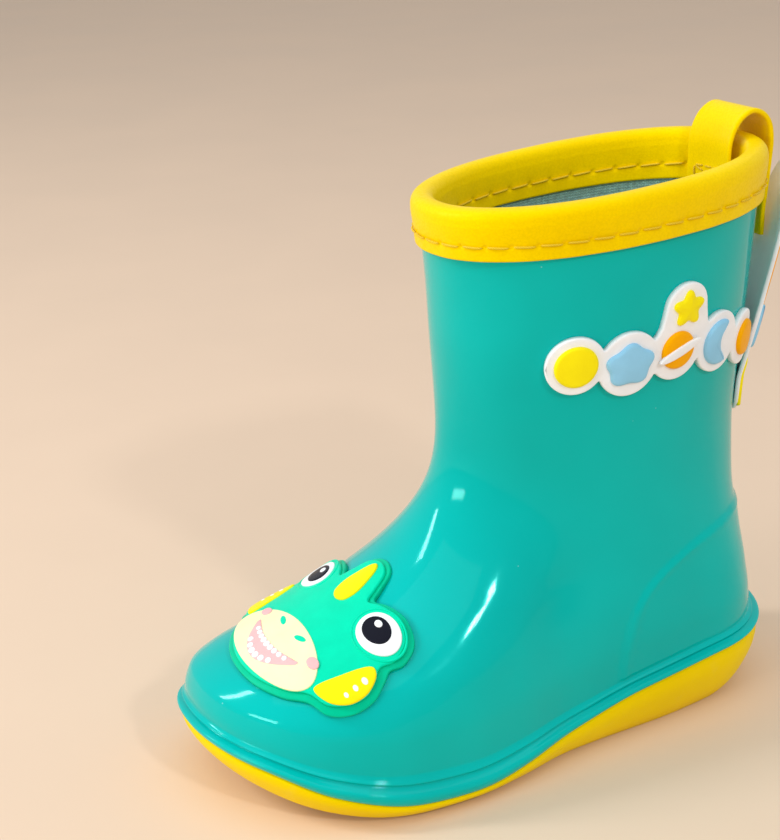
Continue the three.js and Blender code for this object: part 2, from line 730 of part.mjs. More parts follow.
function addBadge() {
  const shrink = (side, share) => side.map(([u, v]) => [u * share, v - Math.sign(v - 8) * 2]);
  const smileLow = (u) => -12 + 9 * (u / 13) ** 2;
  const smileHigh = (u) => -5.2 + 2.8 * (u / 13) ** 2;
  const teethLow = (u) => smileHigh(u) - 2.4 + 0.5 * Math.cos(u * 1.9);
  const teethHigh = (u) => smileHigh(u) - 0.3;
  const mouth = bandPatch(onVamp, [-12.6, 12.6], 14, 2, smileLow, smileHigh, ...DETAIL);
  const teeth = bandPatch(onVamp, [-10.6, 10.6], 18, 1, teethLow, teethHigh, ...GLINT);
  addPatch('badge_base', onVamp, mirroredOutline(BADGE_SIDE, 56), BASE, 5, darkMint);
  addPatch('badge_face', onVamp, mirroredOutline(shrink(BADGE_SIDE, 0.92), 48), FIELD, 5, mint);
  addPatch('badge_muzzle', onVamp, ellipse(0, -4.2, 19.6, 10.2, 32), FEATURE, 3, cream);
  addPatch('badge_horn', onVamp, mirroredOutline(HORN_SIDE, 20), FEATURE, 2, lemon);
  add('badge_mouth', mouth, pink);
  add('badge_teeth', teeth, white);
  const finLoop = new THREE.CatmullRomCurve3(
    FIN_SIDE.map(([u, v]) => new THREE.Vector3(u, v, 0)), true, 'centripetal');
  const fin = finLoop.getSpacedPoints(20).slice(0, -1).map((point) => [point.x, point.y]);
  for (const [side, mirror] of [['lateral', 1], ['medial', -1]]) {
    const place = (name, outline, layer, hoops, look) => {
      const flipped = outline.map(([u, v]) => [mirror * u, v]);
      addPatch(name, onVamp, flipped, layer, hoops, look);
    };
    place(`badge_eye_${side}`, ellipse(18.8, 21, 6.2, 6.2, 20), FEATURE, 2, white);
    place(`badge_pupil_${side}`, ellipse(18, 21.2, 4, 4, 16), DETAIL, 1, black);
    place(`badge_glint_${side}`, ellipse(17.2, 22.8, 1.1, 1.1, 10), GLINT, 1, white);
    place(`badge_fin_${side}`, fin, FEATURE, 2, lemon);
    place(`badge_cheek_${side}`, ellipse(15.2, 0.6, 2, 1.7, 12), DETAIL, 1, pink);
    place(`badge_nostril_${side}`, ellipse(5.8, 2.4, 2.2, 0.9, 12, 0.35), DETAIL, 1, mint);
    for (const [i, v] of [2.8, 6, 9.2].entries()) {
      const radius = 0.65 + 0.1 * i;
      place(`badge_dot_${side}_${i + 1}`, ellipse(26.1, v, radius, radius, 8), DETAIL, 1, white);
    }
  }
}

function addPlaque() {
  // Each shape's place along the shaft, its level and its reach.
  const shapes = [[-22.4, 110.5, 6], [-7.9, 108.8, 6.8], [6.3, 110, 6.3], [21.2, 108.6, 6.2],
    [35, 106, 5.4]];
  const star = [8.4, 120.6, 4.8];
  const margin = 1.8;
  const leastReach = 1.2;
  const middle = curve(shapes.map(([s, level]) => [s, level]));
  const round = (centre, radius, u) => Math.sqrt(Math.max(0, radius ** 2 - (u - centre) ** 2));
  const cover = (u, sign) => {
    const all = sign > 0 ? [...shapes, star] : shapes;
    const edges = all.map(([s, level, reach]) => {
      const rise = round(s, reach + margin, u);
      return rise > 0 ? sign * level + rise : -Infinity;
    });
    return sign * Math.max(...edges, sign * middle(u) + leastReach);
  };
  const first = shapes[0];
  const last = shapes[shapes.length - 1];
  const ends = [first[0] - first[2] - margin + 0.4, last[0] + last[2] + margin - 0.4];
  const lower = (u) => cover(u, -1);
  const upper = (u) => cover(u, 1);
  add('plaque_base', bandPatch(onShaft, ends, 48, 3, lower, upper, ...BASE), white);
  const high = [1.6, 2.8];
  const over = [3.1, 3.6];
  const at = (index) => shapes[index].slice(0, 2);
  addPatch('plaque_moon', onShaft, ellipse(...at(0), 5.7, 5.7, 22), high, 2, lemon);
  addPatch('plaque_cloud', onShaft, wavy(...at(1), 6.5, 5.4, 5, 0.08, 30, 0.3), high, 2, skyBlue);
  addPatch('plaque_planet', onShaft, ellipse(...at(2), 5, 5, 20), high, 2, orange);
  addPatch('plaque_ring', onShaft, ellipse(...at(2), 6.5, 1.4, 20, 0.35), over, 2, white);
  addPatch('plaque_crescent', onShaft, crescent(...at(3), 5.9, 24), high, 2, skyBlue);
  addPatch('plaque_ball', onShaft, ellipse(...at(4), 4.8, 4.8, 20), high, 2, orange);
  const starOutline = wavy(star[0], star[1], 4, 4, 5, 0.2, 30, Math.PI / 2);
  addPatch('plaque_star', onShaft, starOutline, high, 2, lemon);
}

function addRocket() {
  const outline = [[0, 80], [5, 82], [8.4, 88], [9.2, 97], [9.4, 106], [7.4, 116], [6.8, 128],
    [5.6, 138], [3, 146], [0, 149.5]];
  const body = [[0, 100], [4.4, 101.4], [4.8, 112], [4.8, 124], [4, 134], [0, 135.5]];
  const nose = [[0, 137], [3.2, 137.8], [2.6, 141.5], [1.4, 145.4], [0, 146.8]];
  const flame = (u) => 86 - 3.6 * Math.cos(u * 1.15);
  const flameTop = (u) => 97.5 - 0.06 * u * u;
  const fin = [[5.8, 99.5], [7.6, 101], [7.5, 106], [6.1, 111.5]];
  const high = [1.6, 2.6];
  const over = [2.9, 3.4];
  addPatch('rocket_base', onRocket, mirroredOutline(outline, 40), BASE, 4, white);
  add('rocket_flame', bandPatch(onRocket, [-5.9, 5.9], 20, 3, flame, flameTop, ...high), lemon);
  addPatch('rocket_body', onRocket, mirroredOutline(body, 28), high, 3, orange);
  addPatch('rocket_nose', onRocket, mirroredOutline(nose, 18), high, 1, lemon);
  addPatch('rocket_window', onRocket, ellipse(0, 124, 2.6, 2.6, 14), over, 1, white);
  addPatch('rocket_band', onRocket, ellipse(0, 108, 3.8, 1.2, 16), over, 1, skyBlue);
  for (const [side, mirror] of [['lateral', -1], ['medial', 1]]) {
    const shape = fin.map(([u, v]) => [mirror * u, v]);
    addPatch(`rocket_fin_${side}`, onRocket, shape, high, 1, skyBlue);
  }
}

addBadge();
addPlaque();
addRocket();

export default boot;
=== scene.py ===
"""A child's rubber rain boot for the left foot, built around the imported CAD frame.

The boot's wall is described by levels: a level is a height above the floor that bends with the
sole near the ground and tilts with the collar near the top. Sizes below are in millimetres, with
the toe along -Y, the outer side along +X and the sole on Z = 0. Meshes are made in metres.
"""
import math

import bpy
import numpy as np
from mathutils import Matrix


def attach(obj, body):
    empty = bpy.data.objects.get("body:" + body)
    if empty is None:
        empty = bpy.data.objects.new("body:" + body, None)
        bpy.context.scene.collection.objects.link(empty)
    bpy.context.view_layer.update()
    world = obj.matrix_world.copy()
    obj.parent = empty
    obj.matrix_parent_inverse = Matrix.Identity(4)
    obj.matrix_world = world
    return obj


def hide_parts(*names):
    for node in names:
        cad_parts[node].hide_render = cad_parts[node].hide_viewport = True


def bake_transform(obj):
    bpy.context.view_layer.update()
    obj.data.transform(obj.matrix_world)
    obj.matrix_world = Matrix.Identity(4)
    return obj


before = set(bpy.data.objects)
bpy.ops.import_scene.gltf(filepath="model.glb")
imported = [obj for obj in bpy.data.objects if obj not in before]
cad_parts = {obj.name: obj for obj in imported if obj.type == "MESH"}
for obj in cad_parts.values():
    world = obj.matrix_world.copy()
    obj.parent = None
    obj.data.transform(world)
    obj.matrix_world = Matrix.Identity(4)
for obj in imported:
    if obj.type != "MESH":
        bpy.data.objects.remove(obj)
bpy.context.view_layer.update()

bl_info = {
    "name": "Rain boot",
    "version": (1, 0, 0),
    "blender": (4, 5, 0),
    "location": "3D View > Sidebar > Boot",
    "description": "Builds a glossy rubber rain boot with its collar, pull loop and soft patches",
    "category": "Add Mesh",
}

MM = 0.001
GAP = 0.3
SHELL_THICKNESS = 1.8
LINING_THICKNESS = 1.0
SEAM_LEVEL = 10.0
LIP_THICKNESS = 1.8
LIP_WIDTH = 9.0
RIM_LEVEL = 150.0
WELT_TOP = 19.5
COLLAR_THICKNESS = 1.4
COLLAR_LOW_LEVEL = 140.0
COLLAR_TOP_LEVEL = 153.4
COLLAR_OUTER = GAP + COLLAR_THICKNESS
COLLAR_INNER = -SHELL_THICKNESS - LINING_THICKNESS - 2 * GAP - COLLAR_THICKNESS
STITCH_LEVEL = 144.0
COLLAR_TILT = 0.07
ANKLE_CENTRE_Y = 10.0
HEEL_ROUND_LENGTH = 24.0
TREAD_DEPTH = 1.8
TREAD_GROOVE = 2.4
TREAD_LINES = (-86, -77, -68, -59, -50, -41, -32, -23, 14, 23, 32, 41)
STRAP_WIDTH = 18.0
BOW_RADIUS = 22.0
# Where the insides of the upper and the lining have their rings; nothing of them is seen.
HIDDEN_LEVELS = (RIM_LEVEL, 136, 118, 100, 85, 73, 64, 56, 49, 43, 37, 31, 25, 18)

# The camera: the directions to its right and behind it, its place, its lens and its film width.
CAMERA_RIGHT = (0.44471, 0.89490, -0.03731)
CAMERA_BACK = (0.84208, -0.40354, 0.35784)
CAMERA_PLACE = (347.082, -217.163, 241.920)
CAMERA_LENS = 73.846
CAMERA_SENSOR = 36


# ---------------------------------------------------------------- curves and the boot's wall
def curve(points):
    """A smooth line through (x, y) points that never overshoots them: a cubic on each span, whose
    slope at a point is the weighted harmonic mean of the chords on its two sides."""
    x, y = np.array(points, float).T
    step, rise = np.diff(x), np.diff(y)
    slope = rise / step
    tangent = np.zeros(len(x))
    tangent[0], tangent[-1] = slope[0], slope[-1]
    before, after = 2 * step[1:] + step[:-1], step[1:] + 2 * step[:-1]
    same = slope[:-1] * slope[1:] > 0
    safe = np.where(same[:, None], np.stack([slope[:-1], slope[1:]], 1), 1.0)
    mean = (before + after) / (before / safe[:, 0] + after / safe[:, 1])
    tangent[1:-1] = np.where(same, mean, 0)

    def at(value):
        value = np.clip(value, x[0], x[-1])
        i = np.clip(np.searchsorted(x, value, side="right") - 1, 0, len(x) - 2)
        t = (value - x[i]) / step[i]
        start, end = tangent[i] * step[i], tangent[i + 1] * step[i]
        return (y[i] + rise[i] * t * t * (3 - 2 * t) + start * t * (1 - t) ** 2
                - end * t * t * (1 - t))

    return at


# Side view: how far forward and back the wall reaches at each level.
front_edge = curve([
    (10, -107), (18, -108), (25, -106.5), (31, -101.5), (37, -92), (43, -79), (50, -64.5),
    (57, -52), (64, -44), (73, -39), (85, -37), (98, -36.5), (126, -37), (142, -38),
    (158, -39.5)])
back_edge = curve([
    (10, 57.5), (20, 57.5), (35, 56), (50, 53.8), (65, 52.2), (80, 52.2), (100, 53.8),
    (120, 55.5), (142, 57), (158, 58)])
# Top view of the leg: half its width, and how far its front lies behind the front edge.
leg_half_width = curve([
    (10, 25), (40, 25), (60, 25.2), (80, 26), (100, 27.5), (120, 29), (142, 30.3), (158, 31)])
leg_inset = curve([
    (10, 72), (30, 60), (45, 44), (60, 24), (72, 11), (84, 3.5), (96, 0), (158, 0)])
# Top view of the foot: half its width, how much of it is left at a level, and how long the
# rounded toe end is.
foot_half_width = curve([
    (-60, 35.8), (-50, 35.8), (-33, 34), (-15, 30), (10, 27), (34, 26.6), (60, 26.6)])
foot_share = curve([
    (10, 1), (26, 1), (36, 0.96), (46, 0.88), (56, 0.79), (66, 0.68), (78, 0.54), (92, 0.34),
    (108, 0.13), (125, 0), (158, 0)])
toe_length = curve([(10, 56), (30, 54), (50, 50), (70, 45), (90, 42), (158, 40)])
# Height of the seam between upper and sole along the foot, and how far up the wall follows it.
seam_height = curve([
    (-112, 17), (-100, 13.5), (-85, 9.5), (-65, 6), (-45, 4.6), (-20, 6.5), (5, 10), (35, 13.5),
    (62, 15.4)])
seam_follow = curve([(10, 1), (20, 0.95), (35, 0.6), (55, 0.12), (70, 0), (158, 0)])
# The welt is squeezed between that wall and a seam that rides higher at the heel and toe.
seam_lift = curve([
    (-112, 2.5), (-100, 2.6), (-85, 0.7), (-65, -0.5), (-45, 0.2), (-20, 2.8), (5, 4.7),
    (35, 5.2), (62, 5.2)])
lift_follow = curve([(10, 1), (20, 0.1), (24, 0), (158, 0)])
# Underside of the sole: flat from heel to ball, with the toe sprung up.
ground_height = curve([(-112, 9.5), (-100, 5.8), (-85, 2.2), (-72, 0.4), (-62, 0), (62, 0)])
# The moulded welt at the bottom of the upper: a rounded bead, a groove and a fine ridge.
welt_profile = curve([
    (10, 2.5), (10.8, 3), (11.9, 3.2), (13, 2.8), (13.9, 1.4), (14.6, 0.7), (15.3, 1.2),
    (16.2, 0.5), (17.4, 0), (WELT_TOP, 0)])
# Side of the sole from its top edge (0) to the floor (1), and how much more it tucks in.
sole_side = curve([(0, 2.4), (0.2, 2.6), (0.6, 1.4), (0.85, 0), (1, -1.6)])
sole_tuck = curve([(-112, 5), (-90, 2), (-60, 1), (5, 1), (35, 2.5), (58, 6)])


def centre_x(y):
    """The foot's centre line: straight, then a parabola towards the inner side at the toe."""
    return 1.2 - 10 * np.clip((-62 - y) / 48, 0, 1) ** 2


def rounded_end(t, n, m):
    """A superellipse quarter: 0 at the tip (t = 0) and 1 where the end has reached full width."""
    return np.maximum(0, 1 - (1 - np.clip(t, 0, 1)) ** n) ** (1 / m)


def half_width(y, level):
    """Half the boot's width: the foot's and the leg's half widths joined by a 6-norm, which is
    the larger of the two with a soft fillet where they are alike."""
    front, back = front_edge(level), back_edge(level)
    toe = rounded_end((y - front) / toe_length(level), 2.5, 2.2)
    heel = rounded_end((back - y) / HEEL_ROUND_LENGTH, 2.3, 2.1)
    foot = foot_half_width(y) * foot_share(level) * toe * heel
    leg_front = front + leg_inset(level)
    away = np.abs(y - (back + leg_front) / 2) / ((back - leg_front) / 2)
    leg = leg_half_width(level) * np.maximum(0, 1 - away ** 2.3) ** (1 / 2.1)
    return (foot ** 6 + leg ** 6) ** (1 / 6)


def height_of(y, level):
    """Height of a level: the level, plus the seam's rise near the sole, plus the collar's tilt."""
    follow = (seam_height(y) - SEAM_LEVEL) * seam_follow(level) + seam_lift(y) * lift_follow(level)
    tilt = COLLAR_TILT * (y - ANKLE_CENTRE_Y) * np.clip((level - 95) / 60, 0, 1)
    return level + follow + tilt


def wall_point(level, angle):
    """A point of the outer wall: y swings as a cosine between the back (angle 0) and the toe,
    and x is the half width there, to the outer side for the first half turn."""
    level, angle = np.broadcast_arrays(np.asarray(level, float), np.asarray(angle, float))
    front, back = front_edge(level), back_edge(level)
    y = (front + back) / 2 + (back - front) / 2 * np.cos(angle)
    side = np.where(np.abs(np.sin(angle)) < 1e-9, 0, np.sign(np.sin(angle)))
    x = centre_x(y) + side * half_width(y, level)
    return np.stack([x, y, height_of(y, level)], -1)


def unit(v):
    """Vectors of length one."""
    return v / np.maximum(np.linalg.norm(v, axis=-1, keepdims=True), 1e-12)


def wall_normal(level, angle, flat=False):
    """The outward direction: the cross product of the wall's slopes up and along the ring, or
    for a flat ring the ring's own direction turned a quarter in the plane."""
    along = wall_point(level, angle + 0.02) - wall_point(level, angle - 0.02)
    up = wall_point(level + 0.4, angle) - wall_point(level - 0.4, angle)
    level_normal = np.stack([-along[..., 1], along[..., 0], np.zeros(along.shape[:-1])], -1)
    return unit(np.where(np.asarray(flat)[..., None], level_normal, np.cross(up, along)))


def wall(level, angle, out=0.0):
    """The wall moved outward by a distance. Rings below the top of the welt stay on their
    level, like the edge of a floor; the others move square to the wall."""
    level, angle, out = np.broadcast_arrays(
        np.asarray(level, float), np.asarray(angle, float), np.asarray(out, float))
    flat = level < WELT_TOP
    point = wall_point(level, angle) + wall_normal(level, angle, flat) * out[..., None]
    point[..., 2] = np.where(flat, height_of(point[..., 1], level), point[..., 2])
    return point


def inner_wall(level, angle, out):
    """Layers inside the boot: like wall, but the rings that belong to the floor count their
    height up from the seam."""
    point = wall(level, angle, out)
    rise = height_of(point[..., 1], SEAM_LEVEL) + level - SEAM_LEVEL
    point[..., 2] = np.where(level < WELT_TOP, rise, point[..., 2])
    return point


def turn(count):
    """Angles once round the boot, with no repeat at the end."""
    return np.arange(count) * (2 * math.pi / count)


# ---------------------------------------------------------------- meshes
def grid_faces(rows, columns, first=0, wrap_rows=False):
    """Four-sided faces of a grid whose columns go once round, and its corners as (row, column)
    pairs that run on past the last column, for coordinates without a seam."""
    bands = rows if wrap_rows else rows - 1
    row, column = np.meshgrid(np.arange(bands), np.arange(columns), indexing="ij")
    corner = np.stack([np.stack([row, column], -1), np.stack([row, column + 1], -1),
                       np.stack([row + 1, column + 1], -1), np.stack([row + 1, column], -1)], 2)
    corner = corner.reshape(-1, 4, 2)
    return first + (corner[..., 0] % rows) * columns + corner[..., 1] % columns, corner


def cap_faces(ring, first, columns, start):
    """Closes a ring by lines that join each point to the one across from it. Returns the new
    inner points, which are numbered from start, and the faces of the end of a loft."""
    count = len(ring)
    half = count // 2
    share = np.linspace(0, 1, columns + 1)[None, 1:-1, None]
    near, far = ring[1:half, None], ring[:half:-1, None]
    inner = (near * (1 - share) + far * share).reshape(-1, 3)
    index = np.empty((half + 1, columns + 1), int)
    index[:, 0] = first + np.arange(half + 1)
    index[:, -1] = first + (count - np.arange(half + 1)) % count
    index[0, :], index[half, :] = first, first + half
    index[1:half, 1:-1] = start + np.arange(len(inner)).reshape(half - 1, columns - 1)
    body = np.stack([index[1:half - 1, :-1], index[2:half, :-1], index[2:half, 1:],
                     index[1:half - 1, 1:]], -1).reshape(-1, 4)
    tip = np.stack([index[0, :-1], index[1, :-1], index[1, 1:]], -1)
    tail = np.stack([index[half - 1, :-1], index[half, :-1], index[half - 1, 1:]], -1)
    return inner, [body, tip, tail]


def signed_volume(points, faces):
    """Six times the volume inside a closed mesh: the sum over its triangles of the triple
    product of their corners. It is negative when the faces point inwards."""
    volume = 0.0
    for block in faces:
        a = points[block[:, 0]]
        for k in range(1, block.shape[1] - 1):
            b, c = points[block[:, k]], points[block[:, k + 1]]
            volume += np.einsum("ij,ij->", a, np.cross(b, c))
    return volume


def make_mesh(name, points, faces, lay=None):
    """One smooth mesh from millimetre points and lists of faces of equal size. A mesh whose
    faces point inwards is turned the right way out. lay holds UV pairs per corner."""
    if signed_volume(points, faces) < 0:
        faces = [block[:, ::-1] for block in faces]
        lay = None if lay is None else [block[:, ::-1] for block in lay]
    sizes = np.concatenate([np.full(len(block), block.shape[1]) for block in faces])
    loops = np.concatenate([block.ravel() for block in faces])
    mesh = bpy.data.meshes.new(name)
    mesh.vertices.add(len(points))
    mesh.vertices.foreach_set("co", (points * MM).astype(np.float32).ravel())
    mesh.loops.add(len(loops))
    mesh.loops.foreach_set("vertex_index", loops.astype(np.int32))
    mesh.polygons.add(len(sizes))
    mesh.polygons.foreach_set("loop_start", (np.cumsum(sizes) - sizes).astype(np.int32))
    mesh.polygons.foreach_set("use_smooth", np.ones(len(sizes), bool))
    mesh.update(calc_edges=True)
    if lay is not None:
        uv = np.concatenate([block.reshape(-1, 2) for block in lay])
        layer = mesh.uv_layers.new(name="Lay")
        layer.data.foreach_set("uv", uv.astype(np.float32).ravel())
    if mesh.validate(clean_customdata=False):
        raise RuntimeError(f"the mesh of {name} had faces that had to be mended")
    piece = bpy.data.objects.new(name, mesh)
    bpy.context.scene.collection.objects.link(piece)
    return piece


def finish_piece(piece, material, nodes, body="boot"):
    """Gives a piece its material, hides the CAD nodes that it stands in for and, when a body is
    given, hangs it on that body.
    """
    piece.data.materials.append(material)
    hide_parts(*nodes)
    if body:
        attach(piece, body)
    return piece


def loft(name, rings, closed=False, cap=0, lay=None):
    """A surface through rings of equal length, each going once round. A closed one joins its
    last ring to the first, like a tyre; an open one is closed by caps of cap columns. lay gives
    the UV values round a ring and from ring to ring; on the caps they are x and y."""
    rows, columns, _ = rings.shape
    faces, corner = grid_faces(rows, columns, wrap_rows=closed)
    points, blocks = [rings.reshape(-1, 3)], [faces]
    corners = None
    if lay is not None:
        across, along = lay
        corners = [np.stack([across[corner[..., 1]], along[corner[..., 0] % rows]], -1)]
    if not closed:
        low, low_faces = cap_faces(rings[0], 0, cap, rows * columns)
        high, high_faces = cap_faces(
            rings[-1], (rows - 1) * columns, cap, rows * columns + len(low))
        points += [low, high]
        blocks += [block[:, ::-1] for block in low_faces] + high_faces
        if corners is not None:
            flat = np.concatenate(points)
            corners += [flat[block][..., :2] for block in blocks[1:]]
    return make_mesh(name, np.concatenate(points), blocks, corners)


def ring_lengths(level, out, count):
    """Distance round a ring at each of its points, with the whole length at the end."""
    ring = wall(level, turn(count), out)
    step = np.linalg.norm(np.roll(ring, -1, 0) - ring, axis=1)
    return np.concatenate([[0], np.cumsum(step)])


# ---------------------------------------------------------------- materials
class Nodes:
    """A small helper that adds shader nodes to one material and links them."""

    def __init__(self, name):
        self.material = bpy.data.materials.new(name)
        self.material.use_nodes = True
        self.tree = self.material.node_tree
        self.shader = self.tree.nodes["Principled BSDF"]

    def add(self, kind, sockets=(), **settings):
        node = self.tree.nodes.new("ShaderNode" + kind)
        for key, value in settings.items():
            setattr(node, key, value)
        for key, value in dict(sockets).items():
            self.set(node, key, value)
        return node

    def set(self, node, key, value):
        if isinstance(value, bpy.types.NodeSocket):
            self.tree.links.new(value, node.inputs[key])
        else:
            node.inputs[key].default_value = value

    def maths(self, operation, a, b=0.0, c=0.0):
        node = self.add("Math", operation=operation)
        for i, value in enumerate((a, b, c)):
            self.set(node, i, value)
        return node.outputs[0]

    def place(self):
        return self.add("TexCoord").outputs["Object"]

    def noise(self, scale, detail=4.0, roughness=0.55, vector=None):
        node = self.add("TexNoise", {"Scale": scale, "Detail": detail, "Roughness": roughness})
        self.set(node, "Vector", self.place() if vector is None else vector)
        return node.outputs["Fac"]

    def cells(self, scale, vector=None):
        node = self.add("TexVoronoi", {"Scale": scale})
        self.set(node, "Vector", self.place() if vector is None else vector)
        return node.outputs["Distance"]

    def spread(self, value, low, high, to_low=0.0, to_high=1.0):
        node = self.add("MapRange", {"From Min": low, "From Max": high, "To Min": to_low,
                                     "To Max": to_high})
        self.set(node, "Value", value)
        return node.outputs[0]

    def mix(self, share, first, second):
        node = self.add("Mix", data_type="RGBA")
        self.set(node, "Factor", share)
        colour_a, colour_b, colour_out = 6, 7, 2
        self.set(node, colour_a, first)
        self.set(node, colour_b, second)
        return node.outputs[colour_out]

    def bump(self, height, distance, strength=1.0, normal=None):
        node = self.add("Bump", {"Strength": strength, "Distance": distance})
        self.set(node, "Height", height)
        if normal is not None:
            self.set(node, "Normal", normal)
        return node.outputs["Normal"]

    def finish(self, **sockets):
        for key, value in sockets.items():
            self.set(self.shader, key.replace("_", " "), value)
        return self.material


def shade(colour, factor):
    """A colour made darker or lighter by a factor, with its alpha kept."""
    return tuple(min(1.0, c * factor) for c in colour[:3]) + (1.0,)


def linear(red, green, blue):
    """A colour given as 0 to 255 display values, as the linear values that shaders take."""
    value = np.array([red, green, blue]) / 255
    value = np.where(value <= 0.04045, value / 12.92, ((value + 0.055) / 1.055) ** 2.4)
    return tuple(float(v) for v in value)


def glossy_pvc(name, colour):
    """Injection-moulded PVC: a wet gloss that varies a little, faint waves in the surface that
    bend the reflections, tiny dust specks and a slightly deeper colour in patches."""
    n = Nodes(name)
    drift = n.noise(14, 3)
    fine = n.noise(700, 3)
    specks = n.spread(n.cells(260), 0.035, 0.06, 1.0, 0.0)
    rare = n.maths("GREATER_THAN", n.noise(90, 1), 0.66)
    dust = n.maths("MULTIPLY", specks, rare)
    body = n.mix(n.spread(drift, 0.3, 0.7), shade(colour, 0.9), shade(colour, 1.08))
    tint = n.mix(n.maths("MULTIPLY", dust, 0.3), body, (0.75, 0.9, 0.88, 1))
    rough = n.maths("ADD", n.spread(n.noise(45, 4), 0.3, 0.75, 0.07, 0.16),
                    n.maths("MULTIPLY", dust, 0.3))
    waves = n.bump(n.noise(26, 2), 0.0009, 0.35)
    return n.finish(Base_Color=tint, Roughness=rough,
                    Normal=n.bump(fine, 0.00003, 0.3, waves), IOR=1.5,
                    Specular_IOR_Level=0.25, Specular_Tint=(0.1, 0.95, 0.9, 1),
                    Coat_Weight=0.14, Coat_Roughness=0.04)


def sole_rubber(name, colour):
    """Matte moulded rubber: a fine sand-blasted grain, soft colour drift and a dull sheen."""
    n = Nodes(name)
    grain = n.noise(2600, 4, 0.65)
    drift = n.noise(22, 4)
    body = n.mix(n.spread(drift, 0.3, 0.7), shade(colour, 0.9), shade(colour, 1.05))
    dusty = n.mix(n.spread(n.noise(120, 5), 0.6, 0.8, 0, 0.12), body, (0.85, 0.66, 0.25, 1))
    return n.finish(Base_Color=dusty, Roughness=n.spread(grain, 0.3, 0.7, 0.42, 0.6),
                    Normal=n.bump(grain, 0.00012, 0.5), Specular_IOR_Level=0.2,
                    Specular_Tint=shade(colour, 1.0))


def soft_leather(name, colour, grain=1500.0):
    """Coated leather cloth: small pebbled cells with painted shade that darkens the creases between
    them, soft wrinkles, and a satin finish that is shinier on top of the grain."""
    n = Nodes(name)
    warp = n.add("VectorMath", {0: n.place()}, operation="ADD")
    shake = n.add("TexNoise", {"Scale": 420.0, "Detail": 2.0})
    n.set(shake, "Vector", n.place())
    scaled = n.add("VectorMath", {0: shake.outputs["Color"], "Scale": 0.0009}, operation="SCALE")
    n.set(warp, 1, scaled.outputs[0])
    cells = n.cells(grain, warp.outputs[0])
    folds = n.noise(95, 5, 0.6)
    crease = n.spread(cells, 0.35, 0.75)
    body = n.mix(n.spread(n.noise(30, 3), 0.3, 0.7), shade(colour, 0.93), shade(colour, 1.05))
    # Painted shade: the creases between the pebbles are darkened towards 0.7 of the colour.
    tint = n.mix(n.maths("MULTIPLY", crease, 0.2), body, shade(colour, 0.7))
    rough = n.maths("ADD", n.spread(folds, 0.3, 0.7, 0.33, 0.44),
                    n.maths("MULTIPLY", crease, 0.12))
    pebbles = n.bump(n.maths("SUBTRACT", 1.0, cells), 0.00008, 0.4)
    return n.finish(Base_Color=tint, Roughness=rough, IOR=1.47, Specular_IOR_Level=0.3,
                    Specular_Tint=shade(colour, 1.0), Normal=n.bump(folds, 0.0004, 0.2, pebbles))


def knit_fabric(name, colour, pitch=0.95):
    """Fine jersey: columns of V-shaped loops. Height is the sine across a column times the sine
    along it, where the second is shifted by the distance from the column's middle. The low places
    between the loops are darkened in the colour as painted shade."""
    n = Nodes(name)
    lay = n.add("SeparateXYZ", {0: n.add("UVMap", uv_map="Lay").outputs[0]})
    across = n.maths("MULTIPLY", lay.outputs[0], 1 / pitch)
    centre = n.maths("ABSOLUTE", n.maths("SUBTRACT", n.maths("FRACT", across), 0.5))
    along = n.maths("ADD", n.maths("MULTIPLY", lay.outputs[1], 1.25 / pitch),
                    n.maths("MULTIPLY", centre, 1.1))
    leg = n.maths("ABSOLUTE", n.maths("SINE", n.maths("MULTIPLY", across, 2 * math.pi)))
    loop = n.maths("ADD", 0.5, n.maths("MULTIPLY", 0.5, n.maths(
        "SINE", n.maths("MULTIPLY", along, 2 * math.pi))))
    fuzz = n.noise(3800, 3)
    height = n.maths("ADD", n.maths("MULTIPLY", leg, loop), n.maths("MULTIPLY", fuzz, 0.5))
    heather = n.mix(n.spread(n.noise(900, 4), 0.35, 0.7), shade(colour, 0.7), shade(colour, 1.35))
    # Painted shade: the low places between the loops are darkened to 0.42 of the colour.
    tint = n.mix(n.spread(height, 0.15, 0.8), shade(colour, 0.42), heather)
    return n.finish(Base_Color=tint, Roughness=n.spread(fuzz, 0.3, 0.7, 0.82, 0.98),
                    Normal=n.bump(height, 0.0003, 0.8), Sheen_Weight=0.4,
                    Sheen_Roughness=0.5)


def footbed_foam(name, colour):
    """Open-cell foam: small round pores, darkened in the colour as painted shade, and a soft uneven
    face.
    """
    n = Nodes(name)
    pores = n.cells(1300)
    # Painted shade: the pores are darkened to 0.6 of the colour.
    tint = n.mix(n.spread(pores, 0.1, 0.5), shade(colour, 0.6), colour)
    return n.finish(Base_Color=tint, Roughness=n.spread(n.noise(400), 0.3, 0.7, 0.85, 0.98),
                    Normal=n.bump(pores, 0.0003, 0.6))


def twisted_thread(name, colour):
    """Twisted polyester thread: slanting plies, with painted light on their crowns and painted
    shade in the grooves between them.
    """
    n = Nodes(name)
    lay = n.add("SeparateXYZ", {0: n.add("UVMap", uv_map="Lay").outputs[0]})
    slant = n.maths("ADD", n.maths("MULTIPLY", lay.outputs[0], 9.0),
                    n.maths("MULTIPLY", lay.outputs[1], 6 * math.pi))
    ply = n.maths("ADD", 0.5, n.maths("MULTIPLY", 0.5, n.maths("SINE", slant)))
    fuzz = n.noise(2400, 2)
    # Painted light and shade: the plies' crowns are lightened and the grooves between them
    # darkened.
    tint = n.mix(ply, shade(colour, 0.6), shade(colour, 1.15))
    return n.finish(Base_Color=tint, Roughness=n.spread(fuzz, 0.3, 0.7, 0.45, 0.65),
                    Normal=n.bump(ply, 0.0001, 0.6))


